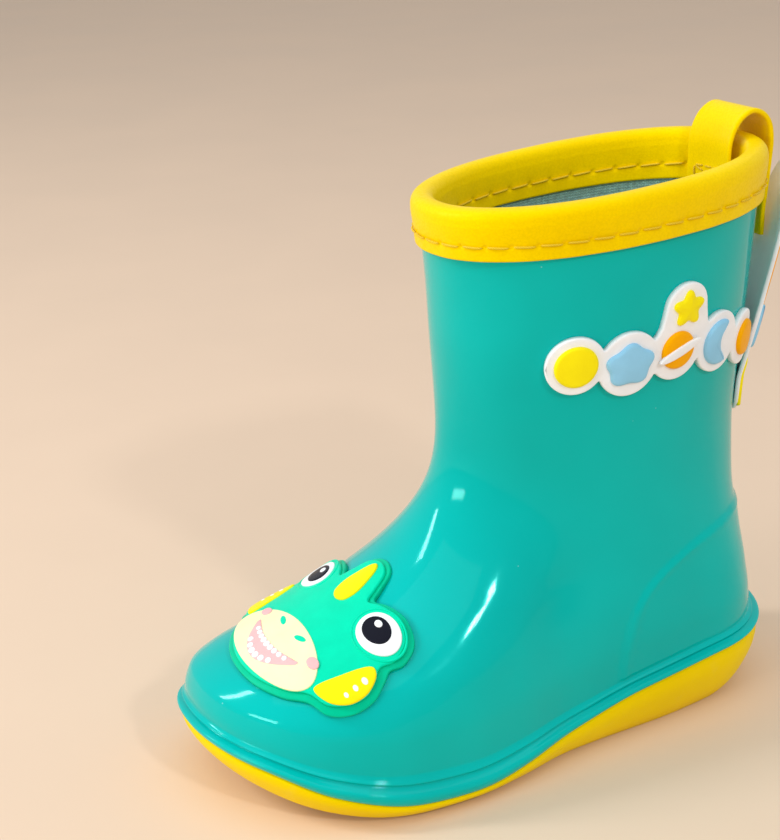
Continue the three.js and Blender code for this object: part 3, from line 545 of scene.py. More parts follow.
def soft_pvc(name, colour, rough=0.42):
    """Poured soft PVC of the patches: a smooth satin skin with faint pits and colour drift."""
    n = Nodes(name)
    drift = n.noise(160, 4)
    skin = n.noise(1400, 3)
    body = n.mix(n.spread(drift, 0.3, 0.7), shade(colour, 0.94), shade(colour, 1.03))
    return n.finish(Base_Color=body, Roughness=n.spread(skin, 0.3, 0.7, rough - 0.05, rough + 0.08),
                    Normal=n.bump(skin, 0.00006, 0.35), Specular_IOR_Level=0.25,
                    Specular_Tint=shade(colour, 1.0), Coat_Weight=0.06, Coat_Roughness=0.3)


def pale_floor(name, colour):
    """A matt painted studio floor with a very faint mottle."""
    n = Nodes(name)
    mottle = n.noise(9, 5)
    tint = n.mix(n.spread(mottle, 0.35, 0.65), shade(colour, 0.985), shade(colour, 1.01))
    return n.finish(Base_Color=tint, Roughness=n.spread(mottle, 0.3, 0.7, 0.5, 0.6),
                    Normal=n.bump(n.noise(500, 3), 0.0001, 0.1), Specular_IOR_Level=0.05)


def rgba(colour):
    """A colour setting as a shader takes it, with a full alpha."""
    return (*colour, 1.0)


# ---------------------------------------------------------------- settings
def colour_property(name, description, red, green, blue):
    """A colour setting whose default is given as 0 to 255 display values."""
    return bpy.props.FloatVectorProperty(
        name=name, description=description, subtype="COLOR", size=3, min=0, max=1,
        default=linear(red, green, blue))


def length_property(name, description, millimetres):
    """A length setting whose default is given in millimetres."""
    return bpy.props.FloatProperty(
        name=name, description=description, subtype="DISTANCE", unit="LENGTH", min=0,
        precision=4, default=millimetres * MM)


class BootSettings(bpy.types.PropertyGroup):
    upper_colour: colour_property("Upper", "Colour of the moulded upper", 0, 184, 177)
    sole_colour: colour_property("Sole", "Colour of the outsole", 255, 219, 0)
    band_colour: colour_property("Collar", "Colour of the collar and pull loop", 255, 216, 0)
    thread_colour: colour_property("Thread", "Colour of the stitching", 250, 205, 10)
    knit_colour: colour_property("Lining", "Colour of the knitted lining", 168, 222, 220)
    foam_colour: colour_property("Foam", "Colour of the footbed foam", 216, 220, 216)
    counter_step: length_property("Counter step", "Height of the heel counter's edge", 0.7)
    stitch_pitch: length_property("Stitch pitch", "Distance between needle holes", 6.5)
    thread_radius: length_property("Thread radius", "Radius of the sewing thread", 0.3)
    strap_thickness: length_property("Strap thickness", "Thickness of the pull loop", 1.5)


class PatchSettings(bpy.types.PropertyGroup):
    # Painted shade: the rim is given a darker mint than the face, though it is the same green and
    # only lies lower.
    shaded_mint: colour_property("Rim", "Colour of the badge's rim", 0, 196, 150)
    mint: colour_property("Face", "Colour of the badge's face", 0, 222, 176)
    cream: colour_property("Muzzle", "Colour of the badge's muzzle", 255, 250, 196)
    pink: colour_property("Mouth", "Colour of the mouth and cheeks", 250, 188, 188)
    white: colour_property("White", "Colour of the white parts", 247, 249, 251)
    black: colour_property("Pupil", "Colour of the pupils", 26, 27, 38)
    lemon: colour_property("Lemon", "Colour of the bright yellow parts", 255, 236, 20)
    sky: colour_property("Sky", "Colour of the light blue parts", 148, 208, 240)
    orange: colour_property("Orange", "Colour of the orange parts", 255, 176, 0)
    shape_height: length_property("Shape height", "Height of the plaque's puffy shapes", 2.9)


class StageSettings(bpy.types.PropertyGroup):
    floor_colour: colour_property("Floor", "Colour of the floor", 230, 204, 179)
    world_strength: bpy.props.FloatProperty(
        name="World", description="Strength of the light from all round", default=0.58, min=0)
    key_power: bpy.props.FloatProperty(
        name="Key light", description="Power of the large soft box", default=7.0, min=0,
        subtype="POWER", unit="POWER")


# ---------------------------------------------------------------- main pieces
# Edge of the heel counter in side view: y and z against the distance along it.
COUNTER_LENGTH = 84
counter_y = curve([
    (0, 1.4), (9, 1.7), (22, 4.5), (33, 11), (52, 28), (70, 46), (COUNTER_LENGTH, 60)])
counter_z = curve([
    (0, 12), (9, 21.5), (22, 33), (33, 42.5), (52, 51.8), (70, 56), (COUNTER_LENGTH, 57.2)])


def counter_relief(points, step):
    """The heel counter under the skin: the wall steps up by step across a soft edge, with a
    narrow bead along it, and sinks back to nothing over the next few centimetres."""
    edge_width, bead_width, fade_length = 0.28, 0.9, 14
    t = np.linspace(0, COUNTER_LENGTH, 120)
    edge = np.stack([counter_y(t), counter_z(t)], -1)
    flat = points[..., 1:].reshape(-1, 2)
    away = flat[:, None] - edge[None]
    distance = np.linalg.norm(away, axis=-1)
    nearest = distance.argmin(1)
    run = np.gradient(edge, axis=0)[nearest]
    gap = away[np.arange(len(flat)), nearest]
    side = np.sign(run[:, 0] * gap[:, 1] - run[:, 1] * gap[:, 0])
    signed = (-side * distance.min(1)).reshape(points.shape[:-1])
    rise = 1 / (1 + np.exp(-signed / edge_width))
    fade = np.exp(-np.maximum(signed, 0) / fade_length)
    ridge = np.exp(-(signed / bead_width) ** 2)
    return step * (0.8 * rise * fade + 0.55 * ridge)


class BOOT_OT_camera(bpy.types.Operator):
    """Adds the camera, which looks down at the toe and the outer side"""
    bl_idname = "boot.add_camera"
    bl_label = "Camera"

    def execute(self, context):
        right, back = np.array(CAMERA_RIGHT), unit(np.array(CAMERA_BACK))
        right = unit(right - back * (right @ back))
        up = np.cross(back, right)
        data = bpy.data.cameras.new("camera")
        data.sensor_fit = "HORIZONTAL"
        data.sensor_width = CAMERA_SENSOR
        data.lens = CAMERA_LENS
        data.clip_start = 0.01
        data.clip_end = 100
        camera = bpy.data.objects.new("camera", data)
        context.scene.collection.objects.link(camera)
        matrix = np.eye(4)
        matrix[:3, :3] = np.stack([right, up, back], 1)
        matrix[:3, 3] = np.array(CAMERA_PLACE) * MM
        camera.matrix_world = Matrix(matrix.tolist())
        context.scene.camera = camera
        return {"FINISHED"}


class BOOT_OT_upper(bpy.types.Operator):
    """Adds the glossy moulded upper with its welt and heel counter"""
    bl_idname = "boot.add_upper"
    bl_label = "Upper"

    def execute(self, context):
        look = context.scene.boot
        angle = turn(360)
        level = np.concatenate([
            np.arange(SEAM_LEVEL, 20, 0.2), np.arange(20, 50, 0.8), np.arange(50, 118, 1.25),
            np.arange(118, RIM_LEVEL, 3), [RIM_LEVEL]])
        rings = wall(level[:, None], angle, welt_profile(level)[:, None])
        rings = self.soften(rings, level)
        relief = counter_relief(rings, look.counter_step / MM)
        welt_ridge, fade_in = 16.4, 1.5
        above = rings[..., 2] - height_of(rings[..., 1], welt_ridge)
        relief *= np.clip(above / fade_in, 0, 1)
        rings += wall_normal(level[:, None], angle, level[:, None] < WELT_TOP) * relief[..., None]
        inside = np.array([*HIDDEN_LEVELS, SEAM_LEVEL + LIP_THICKNESS])
        hidden = inner_wall(inside[:, None], angle, -SHELL_THICKNESS)
        lip_level = np.array([[SEAM_LEVEL + LIP_THICKNESS], [SEAM_LEVEL]])
        lip = inner_wall(lip_level, angle, -LIP_WIDTH)
        upper = loft("boot_upper", np.concatenate([rings, hidden, lip]), closed=True)
        finish_piece(upper, glossy_pvc("Glossy PVC", rgba(look.upper_colour)),
                     ["upper_shell"])
        return {"FINISHED"}

    def soften(self, rings, level):
        """Melts the crease where the foot meets the leg: each point moves again and again
        towards the mean of its four neighbours, fully at the ankle and not at all at the toe
        cap, the heel and the upper shaft."""
        share = np.clip((level - 50) / 12, 0, 1) * np.clip((116 - level) / 16, 0, 1)
        share = share * share * (3 - 2 * share)
        ahead = np.clip((34 - rings[..., 1]) / 30, 0, 1)
        mask = (share[:, None] * ahead)[1:-1, :, None]
        passes = 90
        for _ in range(passes):
            middle = rings[1:-1]
            mean = (rings[:-2] + rings[2:] + np.roll(middle, 1, 1) + np.roll(middle, -1, 1)) / 4
            rings = np.concatenate([rings[:1], middle + mask * (mean - middle), rings[-1:]])
        return rings


class BOOT_OT_outsole(bpy.types.Operator):
    """Adds the matte rubber outsole with its wavy tread"""
    bl_idname = "boot.add_outsole"
    bl_label = "Outsole"

    def execute(self, context):
        look = context.scene.boot
        count, columns = 960, 84
        angle = turn(count)
        top = SEAM_LEVEL - GAP / 6
        down = np.concatenate([[0, 0.02, 0.06], np.linspace(0.12, 0.9, 10),
                               [0.94, 0.97, 0.99, 1]])[:, None]
        base = wall(top, angle)[None]
        out = sole_side(down) - sole_tuck(base[..., 1]) * down ** 2
        edge_round, edge_share = 0.5, 0.03
        out = out - edge_round * np.exp(-(down / edge_share) ** 2)
        side = wall(np.full((len(down), 1), top), angle, out)
        side[..., 2] += (ground_height(side[..., 1]) - side[..., 2]) * down
        plateau_level = np.array([[SEAM_LEVEL + LIP_THICKNESS - GAP], [SEAM_LEVEL - GAP]])
        plateau = inner_wall(plateau_level, angle, -LIP_WIDTH - 2 * GAP)
        rings = np.concatenate([plateau, side])
        faces, _ = grid_faces(len(rings), count)
        low, low_faces = cap_faces(rings[0], 0, 6, len(rings) * count)
        tread, tread_faces = cap_faces(
            rings[-1], (len(rings) - 1) * count, columns, len(rings) * count + len(low))
        tread[:, 2] += self.groove_depth(tread[:, 0], tread[:, 1])
        points = np.concatenate([rings.reshape(-1, 3), low, tread])
        blocks = [faces] + [block[:, ::-1] for block in low_faces] + tread_faces
        sole = make_mesh("boot_outsole", points, blocks)
        finish_piece(sole, sole_rubber("Sole rubber", rgba(look.sole_colour)),
                     ["outsole"])
        return {"FINISHED"}

    def groove_depth(self, x, y):
        """Depth of the tread's grooves: each follows a cosine across the sole, has slightly
        slanted walls, and ends softly short of the sole's edge."""
        crest, half_wave, side_slope, end_slope, margin = 2, 9, 0.5, 0.6, 9
        across = x - centre_x(y)
        wave = y - crest * np.cos(across / half_wave * math.pi)
        lines = np.array(TREAD_LINES, float)
        distance = np.abs(wave[:, None] - lines[None]).min(1)
        sides = np.clip((TREAD_GROOVE / 2 + side_slope / 2 - distance) / side_slope, 0, 1)
        reach = half_width(y, SEAM_LEVEL) - margin
        ends = np.clip((reach - np.abs(across)) / end_slope, 0, 1)
        return TREAD_DEPTH * sides * ends


class BOOT_OT_lining(bpy.types.Operator):
    """Adds the knitted lining that is bonded to the inside of the upper"""
    bl_idname = "boot.add_lining"
    bl_label = "Lining"

    def execute(self, context):
        look = context.scene.boot
        count = 240
        angle = turn(count)
        outside = -SHELL_THICKNESS - GAP
        inside = outside - LINING_THICKNESS
        floor = SEAM_LEVEL + LIP_THICKNESS + GAP
        level = np.concatenate([[floor + LINING_THICKNESS, 15, 16.5, 18],
                                np.linspace(25, RIM_LEVEL, 86)])
        back = np.array([*HIDDEN_LEVELS, floor])
        inner = inner_wall(level[:, None], angle, inside)
        outer = inner_wall(back[:, None], angle, outside)
        lay = ring_lengths(110.0, inside, count), np.concatenate([level, back])
        lining = loft("boot_lining", np.concatenate([inner, outer]), cap=24, lay=lay)
        finish_piece(lining, knit_fabric("Lining knit", rgba(look.knit_colour)),
                     ["lining_sock"])
        return {"FINISHED"}


class BOOT_OT_footbed(bpy.types.Operator):
    """Adds the foam footbed and its knitted cover"""
    bl_idname = "boot.add_footbed"
    bl_label = "Footbed"

    def layer(self, name, low, thickness, crown):
        """A soft slab: rings at the outline whose edge is rounded as a half circle, with a top
        that dips by crown towards the middle, along a smooth step."""
        inset = -SHELL_THICKNESS - LINING_THICKNESS - 3 * GAP
        bend = np.linspace(-1, 1, 9) * math.pi / 2
        edge = thickness / 2
        out = inset - edge * (1 - np.cos(bend))
        level = low + edge + edge * np.sin(bend)
        count, flat_border, slope_width = 240, 4, 12
        rings = inner_wall(level[:, None], turn(count), out[:, None])
        lay = ring_lengths(low, inset, count), level
        slab = loft(name, rings, cap=40, lay=lay)
        points = np.empty(len(slab.data.vertices) * 3, np.float32)
        slab.data.vertices.foreach_get("co", points)
        points = points.reshape(-1, 3)
        x, y, z = points.T / MM
        inward = half_width(y, low) - flat_border - np.abs(x - centre_x(y))
        depth = np.clip(inward / slope_width, 0, 1)
        top = z > height_of(y, SEAM_LEVEL) + low + edge - SEAM_LEVEL
        points[:, 2] -= top * crown * MM * depth * depth * (3 - 2 * depth)
        slab.data.vertices.foreach_set("co", points.ravel())
        slab.data.update()
        return slab

    def execute(self, context):
        look = context.scene.boot
        low = SEAM_LEVEL + LIP_THICKNESS + LINING_THICKNESS + 2 * GAP
        foam_thickness, cover_rise, cover_thickness, dip = 3.0, 2.9, 1.0, 0.5
        foam = self.layer("boot_footbed_foam", low, foam_thickness, dip)
        finish_piece(foam, footbed_foam("Footbed foam", rgba(look.foam_colour)),
                     ["insole_foam"])
        cover = self.layer("boot_footbed_cover", low + cover_rise, cover_thickness, dip)
        finish_piece(cover, knit_fabric("Footbed knit", rgba(look.knit_colour)),
                     ["insole_cover"])
        return {"FINISHED"}


# ---------------------------------------------------------------- collar
def needle_line(out, count=1440):
    """Angles and lengths round the stitch line at a distance from the wall."""
    angle = np.arange(count + 1) * (2 * math.pi / count)
    ring = wall(STITCH_LEVEL, angle, out)
    length = np.concatenate([[0], np.cumsum(np.linalg.norm(np.diff(ring, axis=0), axis=1))])
    return angle, length


def collar_relief(angle, level, pitch, out):
    """How the binding dips at its stitches, as bells across the stitch line: a shallow channel
    along it, a small hole at each needle point, a cosine of soft puckers that swell between the
    holes, and below it three slow sine waves round the boot, where the hem isn't quite even."""
    channel_depth, channel_width = 0.1, 0.95
    hole_depth, hole_width = 0.5, 0.55
    pucker_height, pucker_width = 0.06, 2.6
    wave_level, wave_width = 142.5, 3.5
    line_angle, length = needle_line(out)
    count = round(length[-1] / pitch)
    phase = np.interp(angle, line_angle, length) / length[-1] * count
    along = (phase - np.round(phase)) * length[-1] / count
    rise = level - STITCH_LEVEL
    channel = -channel_depth * np.exp(-(rise / channel_width) ** 2)
    hole = -hole_depth * np.exp(-(along / hole_width) ** 2 - (rise / hole_width) ** 2)
    pucker = (-pucker_height * np.cos(2 * math.pi * phase)
              * np.exp(-(rise / pucker_width) ** 2))
    slow = sum(height * np.sin(waves * angle + start) for height, waves, start in (
        (0.09, 5, 0.6), (0.07, 11, 2.1), (0.05, 23, 4.0)))
    return channel + hole + pucker + slow * np.exp(-((level - wave_level) / wave_width) ** 2)


class BOOT_OT_collar(bpy.types.Operator):
    """Adds the leather binding folded over the collar"""
    bl_idname = "boot.add_collar"
    bl_label = "Collar binding"

    def execute(self, context):
        look = context.scene.boot
        angle = turn(900)
        fold_level, middle = 149.6, (COLLAR_OUTER + COLLAR_INNER) / 2
        reach = (COLLAR_OUTER - COLLAR_INNER) / 2
        bend = np.linspace(0, math.pi, 19)
        fold_out = middle + reach * np.sign(np.cos(bend)) * np.abs(np.cos(bend)) ** 0.8
        fold_up = fold_level + (COLLAR_TOP_LEVEL - fold_level) * np.sin(bend) ** 0.8
        wall_level = np.linspace(COLLAR_LOW_LEVEL + 0.6, fold_level, 28)[:-1]
        swell_height, swell_start, swell_length = 0.22, 145.2, 8
        swell = swell_height * np.sin(
            np.clip((wall_level - swell_start) / swell_length, 0, 1) * math.pi)
        hem = np.array([[GAP, COLLAR_LOW_LEVEL], [COLLAR_OUTER - 0.6, COLLAR_LOW_LEVEL],
                        [COLLAR_OUTER - 0.2, COLLAR_LOW_LEVEL + 0.2]])
        inner_hem = np.array([[COLLAR_INNER + 0.2, COLLAR_LOW_LEVEL + 0.2],
                              [COLLAR_INNER + 0.6, COLLAR_LOW_LEVEL],
                              [COLLAR_INNER + COLLAR_THICKNESS, COLLAR_LOW_LEVEL]])
        lined = np.array([[COLLAR_INNER + COLLAR_THICKNESS, RIM_LEVEL],
                          [COLLAR_INNER + COLLAR_THICKNESS + 0.9, RIM_LEVEL + 1],
                          [GAP - 0.9, RIM_LEVEL + 1], [GAP, RIM_LEVEL]])
        section = np.concatenate([
            hem, np.stack([COLLAR_OUTER - 0.15 + swell, wall_level], -1),
            np.stack([fold_out, fold_up], -1),
            np.stack([COLLAR_INNER + 0.15 - swell, wall_level], -1)[::-1], inner_hem, lined])
        out, level = section[:, 0, None], section[:, 1, None]
        pitch = look.stitch_pitch / MM
        outer = collar_relief(angle, level, pitch, COLLAR_OUTER)
        inner = -collar_relief(angle, level, pitch, COLLAR_INNER)
        hidden = np.zeros(len(section), bool)
        hidden[0], hidden[-5:] = True, True
        side = np.where(out > middle, outer, inner) * ~hidden[:, None]
        relief = np.where(level > fold_level + 0.2, 0, side)
        rings = wall(level, angle, out + relief)
        collar = loft("boot_collar", rings, closed=True)
        finish_piece(collar, soft_leather("Collar leather", rgba(look.band_colour)),
                     ["collar_binding"])
        return {"FINISHED"}


def thread_tubes(name, lines, outward, radius):
    """Short lengths of thread: each is a round tube along one line of points, whose radius
    is the root of one minus the sixth power of the distance from the middle, so it falls to
    nothing at both ends."""
    count, steps, _ = lines.shape
    sides = 8
    t = np.linspace(0, 1, steps)
    taper = np.clip(1 - np.abs(2 * t - 1) ** 6, 0, 1) ** 0.5
    along = unit(np.gradient(lines, axis=1))
    across = unit(np.cross(along, outward))
    away = np.cross(across, along)
    turns = np.arange(sides) * (2 * math.pi / sides)
    spoke = (across[:, :, None] * np.cos(turns)[:, None] + away[:, :, None]
             * np.sin(turns)[:, None]) * radius * taper[:, None, None]
    rings = (lines[:, :, None] + spoke)[:, 1:-1]
    tips = np.stack([lines[:, 0], lines[:, -1]], 1)
    rows = steps - 2
    body, corner = grid_faces(rows, sides)
    block = rows * sides
    start = (np.arange(count) * block)[:, None, None]
    tip = count * block + 2 * np.arange(count)[:, None, None]
    side = np.arange(sides)
    following = (side + 1) % sides
    first = np.stack([following, side], -1)[None] + start
    last = np.stack([side, following], -1)[None] + (rows - 1) * sides + start
    low = np.concatenate([first, np.broadcast_to(tip, (count, sides, 1))], -1)
    high = np.concatenate([last, np.broadcast_to(tip + 1, (count, sides, 1))], -1)
    blocks = [(body[None] + start).reshape(-1, 4), low.reshape(-1, 3), high.reshape(-1, 3)]
    length = np.linalg.norm(lines[:, -1] - lines[:, 0], axis=1).mean()
    lay_body = np.stack([corner[..., 0] / rows * length, corner[..., 1] / sides], -1)
    lay = [np.broadcast_to(lay_body, (count, *lay_body.shape)).reshape(-1, 4, 2),
           np.zeros((count * sides, 3, 2)), np.zeros((count * sides, 3, 2))]
    points = np.concatenate([rings.reshape(-1, 3), tips.reshape(-1, 3)])
    return make_mesh(name, points, blocks, lay)


class BOOT_OT_stitches(bpy.types.Operator):
    """Adds the needle and bobbin threads round the collar"""
    bl_idname = "boot.add_stitches"
    bl_label = "Collar stitches"

    def execute(self, context):
        look = context.scene.boot
        radius, pitch = look.thread_radius / MM, look.stitch_pitch / MM
        thread = twisted_thread("Sewing thread", rgba(look.thread_colour))
        rows = (("collar_needle_stitches", COLLAR_OUTER, 1, "collar_needle_thread"),
                ("collar_bobbin_stitches", COLLAR_INNER, -1, "collar_bobbin_thread"))
        for name, out, side, node in rows:
            angle, length = needle_line(out)
            count = round(length[-1] / pitch)
            share = np.linspace(0.07, 0.93, 13)
            distance = (np.arange(count)[:, None] + share) * length[-1] / count
            at = np.interp(distance, length, angle)
            # Each stitch lies half sunk, dives into its holes and slants a little.
            dive, slant = 0.75 * (2 * share - 1) ** 4, 0.12
            lift = side * (0.02 + radius * 0.55 - dive)
            level = STITCH_LEVEL + slant * np.sin((share - 0.5) * math.pi)
            lines = wall(np.broadcast_to(level, at.shape), at, out + lift)
            outward = wall_normal(np.full(at.shape, STITCH_LEVEL), at) * side
            piece = thread_tubes(name, lines, outward, radius)
            finish_piece(piece, thread, [node])
        return {"FINISHED"}


# ---------------------------------------------------------------- pull loop
# The strap's middle line in side view, up the inside, over the collar and down the back, as
# (y, z, bow): a bow of 1 curves the strap's width like the collar behind it.
STRAP_LINE = (
    (49.5, 139, 1), (49.5, 144, 1), (49.5, 149.4, 1), (49.2, 154, 0.8), (49.8, 158, 0.5),
    (51.7, 161.5, 0.2), (55.4, 163.4, 0), (59.2, 161.8, 0), (61.4, 158.2, 0), (61.8, 154, 0),
    (61.4, 149.4, 0), (60.6, 141, 0), (59.9, 135, 0), (59.8, 129, 0))


def smooth_line(points, count, width):
    """A line through points, by the monotone curve over chord length, then evened out by
    averaging with a bell of the given width, with its two ends held."""
    points = np.array(points, float)
    chord = np.concatenate([[0], np.cumsum(np.linalg.norm(np.diff(points[:, :2], axis=0),
                                                           axis=1))])
    s = np.linspace(0, chord[-1], count)
    line = np.stack([curve(np.stack([chord, column], -1))(s) for column in points.T], -1)
    bell = np.exp(-((s[:, None] - s[None]) / width) ** 2)
    room = np.minimum(s, chord[-1] - s)
    bell = np.where(np.abs(s[:, None] - s[None]) <= room[:, None] + 1e-9, bell, 0)
    return bell @ line / bell.sum(1, keepdims=True)


class BOOT_OT_pull_strap(bpy.types.Operator):
    """Adds the pull loop with its rolled edges and its stitched ends"""
    bl_idname = "boot.add_pull_strap"
    bl_label = "Pull loop"

    def strap_points(self, line, across, rise):
        """Points of the strap: the middle line, moved by x along its width and by rise square
        to it, and bowed back as a parabola of x."""
        along = unit(np.gradient(line[:, :2], axis=0))
        square = np.stack([-along[:, 1], along[:, 0]], -1)
        y = line[:, 0, None] + square[:, 0, None] * rise - line[:, 2, None] * across ** 2 / (
            2 * BOW_RADIUS)
        z = line[:, 1, None] + square[:, 1, None] * rise
        return np.stack([np.broadcast_to(across, y.shape), y, z], -1)

    def execute(self, context):
        look = context.scene.boot
        half = STRAP_WIDTH / 2
        thick = look.strap_thickness / MM / 2
        line = smooth_line(STRAP_LINE, 150, 1.6)
        around = turn(56)
        flat = np.sign(np.cos(around)) * np.abs(np.cos(around)) ** 0.55
        across = half * flat
        body = thick * (0.86 + 0.14 * np.abs(flat) ** 6)
        edge = np.clip((half - np.abs(across)) / thick, 0, 1)
        rise = np.sign(np.sin(around)) * body * np.sqrt(1 - (1 - edge) ** 2)
        groove_depth, groove_inset, groove_width = 0.1, 2.1, 0.35
        from_groove = np.abs(across) - half + groove_inset
        groove = groove_depth * np.exp(-(from_groove / groove_width) ** 2)
        rise = rise - np.sign(np.sin(around)) * groove
        rings = self.strap_points(line, across, rise)
        strap = loft("boot_pull_loop", rings, cap=4)
        leather = soft_leather("Loop leather", rgba(look.band_colour), 1700.0)
        finish_piece(strap, leather,
                     ["loop_inner_tail", "loop_arch", "loop_outer_tail"], body=None)
        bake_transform(strap)
        thread = twisted_thread("Tack thread", rgba(look.thread_colour))
        radius = look.thread_radius / MM
        tacks = (("loop_inner_stitches", 140.8, 147.4, line[:, 0] < 55, 1, "loop_inner_tack"),
                 ("loop_outer_stitches", 141.8, 148.0, line[:, 0] > 57, -1, "loop_outer_tack"))
        for name, low, high, leg, side, node in tacks:
            part = line[leg & (line[:, 1] < 152)]
            part = part[np.argsort(part[:, 1])]
            lines = self.tack_lines(low, high)
            y = np.interp(lines[..., 1], part[:, 1], part[:, 0])
            bow = np.interp(lines[..., 1], part[:, 1], part[:, 2])
            share = np.linspace(-1, 1, lines.shape[1])
            lift = thick * 0.86 + radius * 0.5 - 0.5 * share ** 4
            y = y - side * lift - bow * lines[..., 0] ** 2 / (2 * BOW_RADIUS)
            points = np.stack([lines[..., 0], y, lines[..., 1]], -1)
            outward = np.zeros_like(points) + np.array((0, -side, 0))
            piece = thread_tubes(name, points, outward, radius)
            finish_piece(piece, thread, [node])
        return {"FINISHED"}

    def tack_lines(self, low, high):
        """Stitches round a rectangle and across it, as (x, z) lines with small gaps."""
        reach = STRAP_WIDTH / 2 - 2.5
        corners = np.array([(-reach, low), (reach, low), (reach, high), (-reach, high)])
        ends = [(corners[0], corners[1], 4), (corners[1], corners[2], 2),
                (corners[2], corners[3], 4), (corners[3], corners[0], 2),
                (corners[0], corners[2], 4), (corners[1], corners[3], 4)]
        share = np.linspace(0.08, 0.92, 11)
        pieces = []
        for start, end, count in ends:
            t = (np.arange(count)[:, None] + share) / count
            pieces.append(start + (end - start) * t[..., None])
        return np.concatenate(pieces)


# ---------------------------------------------------------------- laying patches on the boot
def beyond_wall(point):
    """Sideways distance from the wall, negative inside the boot. The level through a point is
    found by repeating level = level - (height of the level - z)."""
    x, y, z = np.moveaxis(point, -1, 0)
    level = z.copy()
    repeats = 14
    for _ in range(repeats):
        level = level - (height_of(y, level) - z)
    level = np.clip(level, SEAM_LEVEL, 158)
    front, back = front_edge(level), back_edge(level)
    away = np.abs(x - centre_x(y))
    safe = np.clip(y, front + 1e-6, back - 1e-6)
    inside = away - half_width(safe, level)
    return np.where((y < front) | (y > back), np.maximum(front - y, y - back) + away, inside)


# The badge's rays: the foot of the line they start from and its slope, the radius that turns u
# into an angle, how far the middle is turned to the outer side, and how v runs along the line.
BADGE_ORIGIN = np.array((-1.0, -74.0, 14.0))
BADGE_RISE = math.radians(24)
BADGE_RADIUS = 32.0
BADGE_SHIFT = 3.8
BADGE_START = 1.74
BADGE_STRETCH = 0.873
VAMP_U = np.linspace(-36, 36, 145)
VAMP_V = np.linspace(-22, 44, 133)


def vamp_table():
    """Where the badge's rays meet the wall, and the direction square to it, on an even grid of
    u and v. The rays fan out of a line inside the toe that rises towards the leg, turned by u
    over the badge's radius. The grid is evened out a little by averaging neighbours."""
    u, v = np.meshgrid(VAMP_U, VAMP_V, indexing="ij")
    along = np.array((0, math.cos(BADGE_RISE), math.sin(BADGE_RISE)))
    lift = np.array((0, -math.sin(BADGE_RISE), math.cos(BADGE_RISE)))
    angle = (u + BADGE_SHIFT) / BADGE_RADIUS
    start = BADGE_ORIGIN + along * (BADGE_START + BADGE_STRETCH * v)[..., None]
    ray = lift * np.cos(angle)[..., None]
    ray[..., 0] = np.sin(angle)
    inside, outside = np.full(u.shape, 4.0), np.full(u.shape, 70.0)
    halvings, passes = 24, 8
    for _ in range(halvings):
        middle = (inside + outside) / 2
        within = beyond_wall(start + ray * middle[..., None]) < 0
        inside, outside = np.where(within, middle, inside), np.where(within, outside, middle)
    hit = start + ray * inside[..., None]
    for _ in range(passes):
        hit[1:-1, 1:-1] = (hit[:-2, 1:-1] + hit[2:, 1:-1] + hit[1:-1, :-2] + hit[1:-1, 2:]) / 4
    normal = unit(np.cross(np.gradient(hit, axis=0), np.gradient(hit, axis=1)))
    return np.concatenate([hit, normal], -1)


VAMP_TABLE = vamp_table()


def on_vamp(u, v, out):
    """The badge's map: the vamp's table between its grid points, by linear blends in u and v;
    out is a distance square to the wall."""
    u, v, out = np.broadcast_arrays(u, v, out)
    column = np.clip((u - VAMP_U[0]) / (VAMP_U[1] - VAMP_U[0]), 0, len(VAMP_U) - 1.001)
    row = np.clip((v - VAMP_V[0]) / (VAMP_V[1] - VAMP_V[0]), 0, len(VAMP_V) - 1.001)
    i, j = column.astype(int), row.astype(int)
    p, q = (column - i)[..., None], (row - j)[..., None]
    near = VAMP_TABLE[i, j] * (1 - q) + VAMP_TABLE[i, j + 1] * q
    far = VAMP_TABLE[i + 1, j] * (1 - q) + VAMP_TABLE[i + 1, j + 1] * q
    both = near * (1 - p) + far * p
    return both[..., :3] + unit(both[..., 3:]) * out[..., None]


SHAFT_LEVEL = 110.0


def shaft_table():
    """Distance along the shaft's outline from its outer side towards the back, and the angles
    that go with it."""
    front, back = front_edge(SHAFT_LEVEL), back_edge(SHAFT_LEVEL)
    start = math.acos((2 * ANKLE_CENTRE_Y - front - back) / (back - front))
    ahead, behind, count = 1.4, -0.8, 900
    angle = np.linspace(start + ahead, behind, count)
    step = np.linalg.norm(np.diff(wall_point(SHAFT_LEVEL, angle), axis=0), axis=1)
    distance = np.concatenate([[0], np.cumsum(step)])
    return distance - np.interp(-start, -angle, distance), angle


SHAFT_DISTANCE, SHAFT_ANGLE = shaft_table()


def on_shaft(s, level, out):
    """The plaque's map: s is distance along the outline, and out is square to the wall."""
    s, level, out = np.broadcast_arrays(s, level, out)
    angle = np.interp(s, SHAFT_DISTANCE, SHAFT_ANGLE)
    return wall_point(level, angle) + wall_normal(level, angle) * out[..., None]


ROCKET_S = 52.0
ROCKET_FREE_LEVEL = 92
ROCKET_LEAN = 0.165


def on_rocket(u, level, out):
    """The rocket's map: like the plaque's, but leaning away from the shaft further up."""
    u, level, out = np.broadcast_arrays(u, level, out)
    lean = ROCKET_LEAN * np.maximum(0, level - ROCKET_FREE_LEVEL)
    return on_shaft(ROCKET_S + u, level, out + lean)


